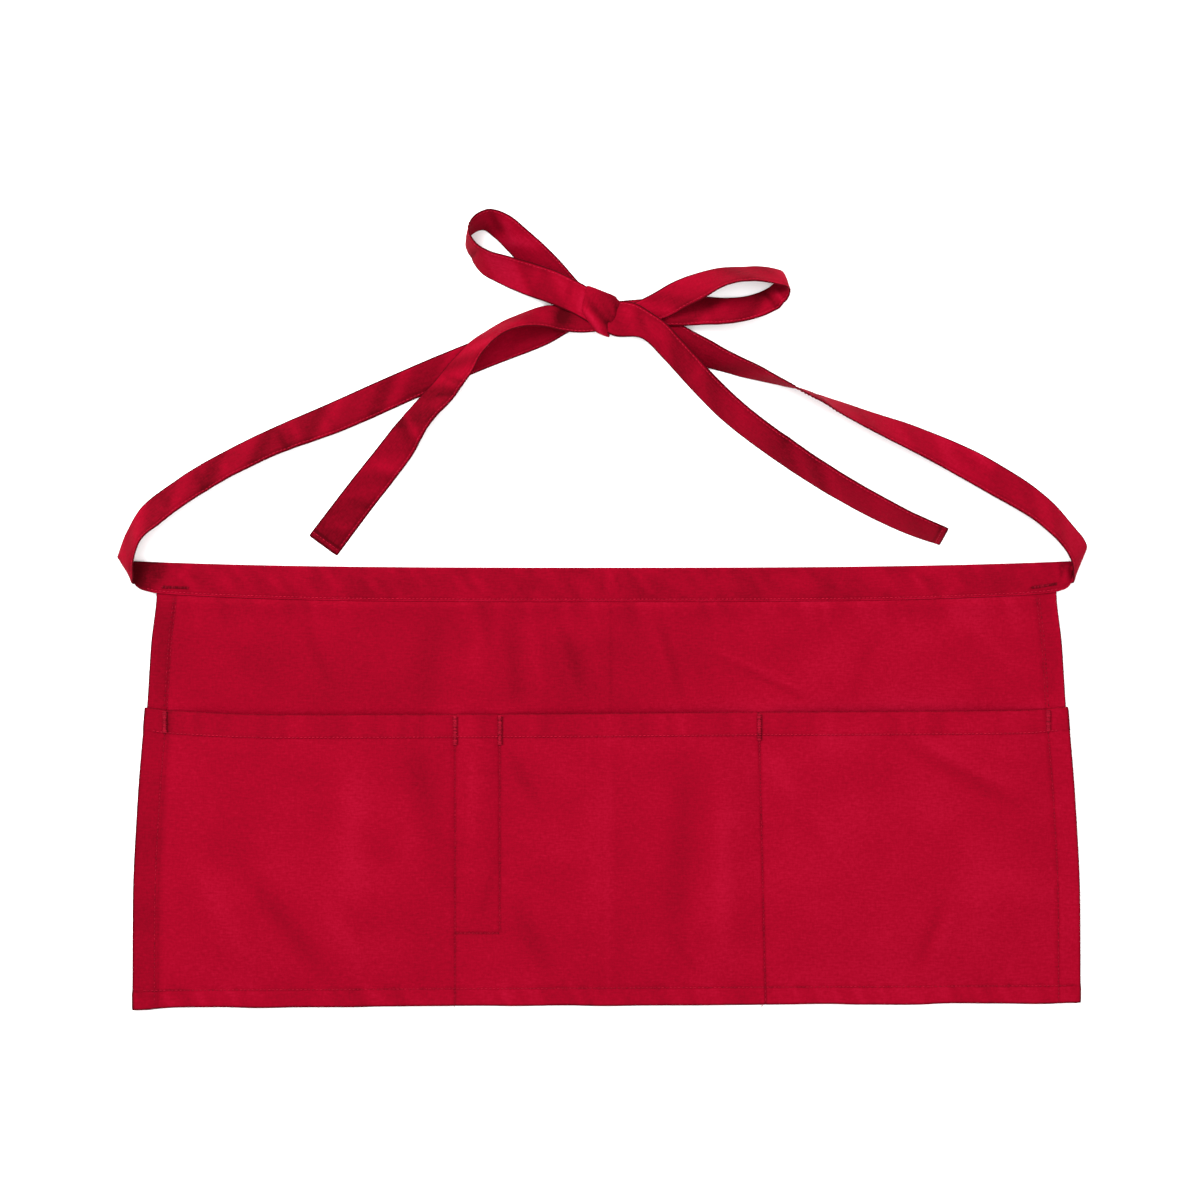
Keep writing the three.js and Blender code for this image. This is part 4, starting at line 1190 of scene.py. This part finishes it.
def make_knot(cloth):
    """The wrap as one closed loop, and its length round."""
    around, *runs = np.array(KNOT_WRAP + ((1.0,) + KNOT_WRAP[0][1:],)).T
    s = np.arange(WRAP_STEPS) / WRAP_STEPS
    across, height, left, right = (curve_through(around, run, False)(s) * MM for run in runs)
    share = np.linspace(0, 1, WRAP_ROWS)
    c = across[:, None]
    h = height[:, None]
    a = left[:, None] + (right - left)[:, None] * share
    out_c = np.gradient(height, s)
    out_h = -np.gradient(across, s)
    size = np.hypot(out_c, out_h)
    along = np.array([cos(KNOT_TURN), sin(KNOT_TURN), 0])
    sideways = np.array([-sin(KNOT_TURN), cos(KNOT_TURN), 0])

    def at(across, height):
        knot_centre = np.array([KNOT_SHIFT, KNOT_RISE, 0])
        return knot_centre + a[..., None] * along + across[..., None] * sideways + height[..., None] * UP

    plan = at(c, 0 * a)
    on_face = step_mm(3, 7, h)
    sunk = -1.6 * MM * np.abs(2 * share - 1) ** 5
    folds = creases(plan[..., 0], plan[..., 1], KNOT_CREASES)
    ripple = 0.3 * MM * noise(a + c * 0.5, c * 0.3, 4, 14, 51)
    push = (sunk + folds + ripple) * on_face

    def surface(inset):
        out = (push - inset) / size[:, None]
        return at(c + out_c[:, None] * out, np.maximum(h + out_h[:, None] * out, REST)).reshape(-1, 3)

    points = np.concatenate([surface(0), surface(WRAP_CLOTH)])
    outer = closed(np.arange(a.size).reshape(a.shape))
    under = outer[:, ::-1] + a.size
    edges = (np.column_stack([under[:, -1], outer[:, 0]]), np.column_stack([outer[:, -1], under[:, 0]]))
    faces = np.concatenate([grid_quads(grid) for grid in (outer, under, *edges)]).tolist()
    weave = np.stack([np.broadcast_to(s[:, None] * WRAP_WEAVE, a.shape), a], axis=-1).reshape(-1, 2)
    # The wrap is darker overall, with painted shade on its upper right half and painted light and shade along
    # its folds.
    tone = (-0.24 + 0.8 * folds / MM - 0.42 * step_mm(-5, 7, a + c * 0.6)).reshape(-1)
    both_weave = np.concatenate([weave, weave])
    both_tone = np.concatenate([tone, tone])
    knot = add_piece("knot_cloth", points, faces, both_weave, both_tone, cloth, "knot_wrap")
    steps = (np.diff(closed(run)) for run in (across, height))
    return knot, float(sum(np.hypot(*steps)))


# Camera, light and floor

VIEW_WIDTH = 777 * MM
VIEW_CENTRE = (-4.2 * MM, -10 * MM)
CAMERA_HEIGHT = 3.0
SENSOR = 36.0
FLOOR_REACH = 6.0
WORLD_STRENGTH = 1.8
# The lights' places, sizes and powers, and the point that they shine at.
LIGHTS = (
    ("key_light", (-0.75, 1.15, 1.35), 0.9, 46.0),
    ("fill_light", (1.3, -0.2, 1.7), 1.8, 6.0),
)
LIT_POINT = Vector((0, -0.03, 0))


def make_stage():
    scene = bpy.context.scene
    scene.view_settings.view_transform = "Standard"
    camera_data = bpy.data.cameras.new("camera")
    camera_data.sensor_width = SENSOR
    camera_data.lens = SENSOR * CAMERA_HEIGHT / VIEW_WIDTH
    camera = add_object("camera", camera_data)
    camera.location = (*VIEW_CENTRE, CAMERA_HEIGHT)
    scene.camera = camera

    mesh = bpy.data.meshes.new("floor")
    corners = [(x * FLOOR_REACH, y * FLOOR_REACH, 0) for x, y in ((-1, -1), (1, -1), (1, 1), (-1, 1))]
    mesh.from_pydata(corners, [], [(0, 1, 2, 3)])
    surface = Surface("floor")
    surface.connect(surface.shader, {
        "Base Color": (0.96, 0.96, 0.96, 1), "Roughness": 0.9, "Specular IOR Level": 0.1,
    })
    mesh.materials.append(surface.material)
    floor = add_object("floor", mesh)

    world = bpy.data.worlds.new("world")
    world.use_nodes = True
    background = world.node_tree.nodes["Background"]
    background.inputs["Color"].default_value = (1, 1, 1, 1)
    background.inputs["Strength"].default_value = WORLD_STRENGTH
    scene.world = world

    for name, place, size, power in LIGHTS:
        light_data = bpy.data.lights.new(name, "AREA")
        light_data.size = size
        light_data.energy = power
        light = add_object(name, light_data)
        light.location = place
        light.rotation_euler = (LIT_POINT - Vector(place)).to_track_quat("-Z", "Y").to_euler()


make_stage()
cloth = cloth_material("crimson_cloth", 0.35)
strap_cloth = cloth_material("crimson_strap", 0.35)
thread = thread_material()
panel = make_panel(cloth)
panel_stitches = sew_panel(thread)
pockets = make_pockets(cloth)
pocket_stitches = sew_pockets(thread)
band = make_band(cloth)
band_stitches = sew_band(thread)
strap_left, left_stitches, left_run = make_strap(
    "strap_left", "tie_left", strap_cloth, thread, 31, LEFT_STRAP_CREASES,
    -1, LEFT_TIE, LEFT_TIE_PASS, RIGHT_LOOP_REACH, RIGHT_LOOP, LEFT_TAIL_PASS, LEFT_TAIL_REACH, LEFT_TAIL,
)
strap_right, right_stitches, right_run = make_strap(
    "strap_right", "tie_right", strap_cloth, thread, 41, RIGHT_STRAP_CREASES,
    1, RIGHT_TIE, RIGHT_TIE_PASS, LEFT_LOOP_REACH, LEFT_LOOP, RIGHT_TAIL_PASS, RIGHT_TAIL_REACH, RIGHT_TAIL,
)
knot, wrap_run = make_knot(strap_cloth)
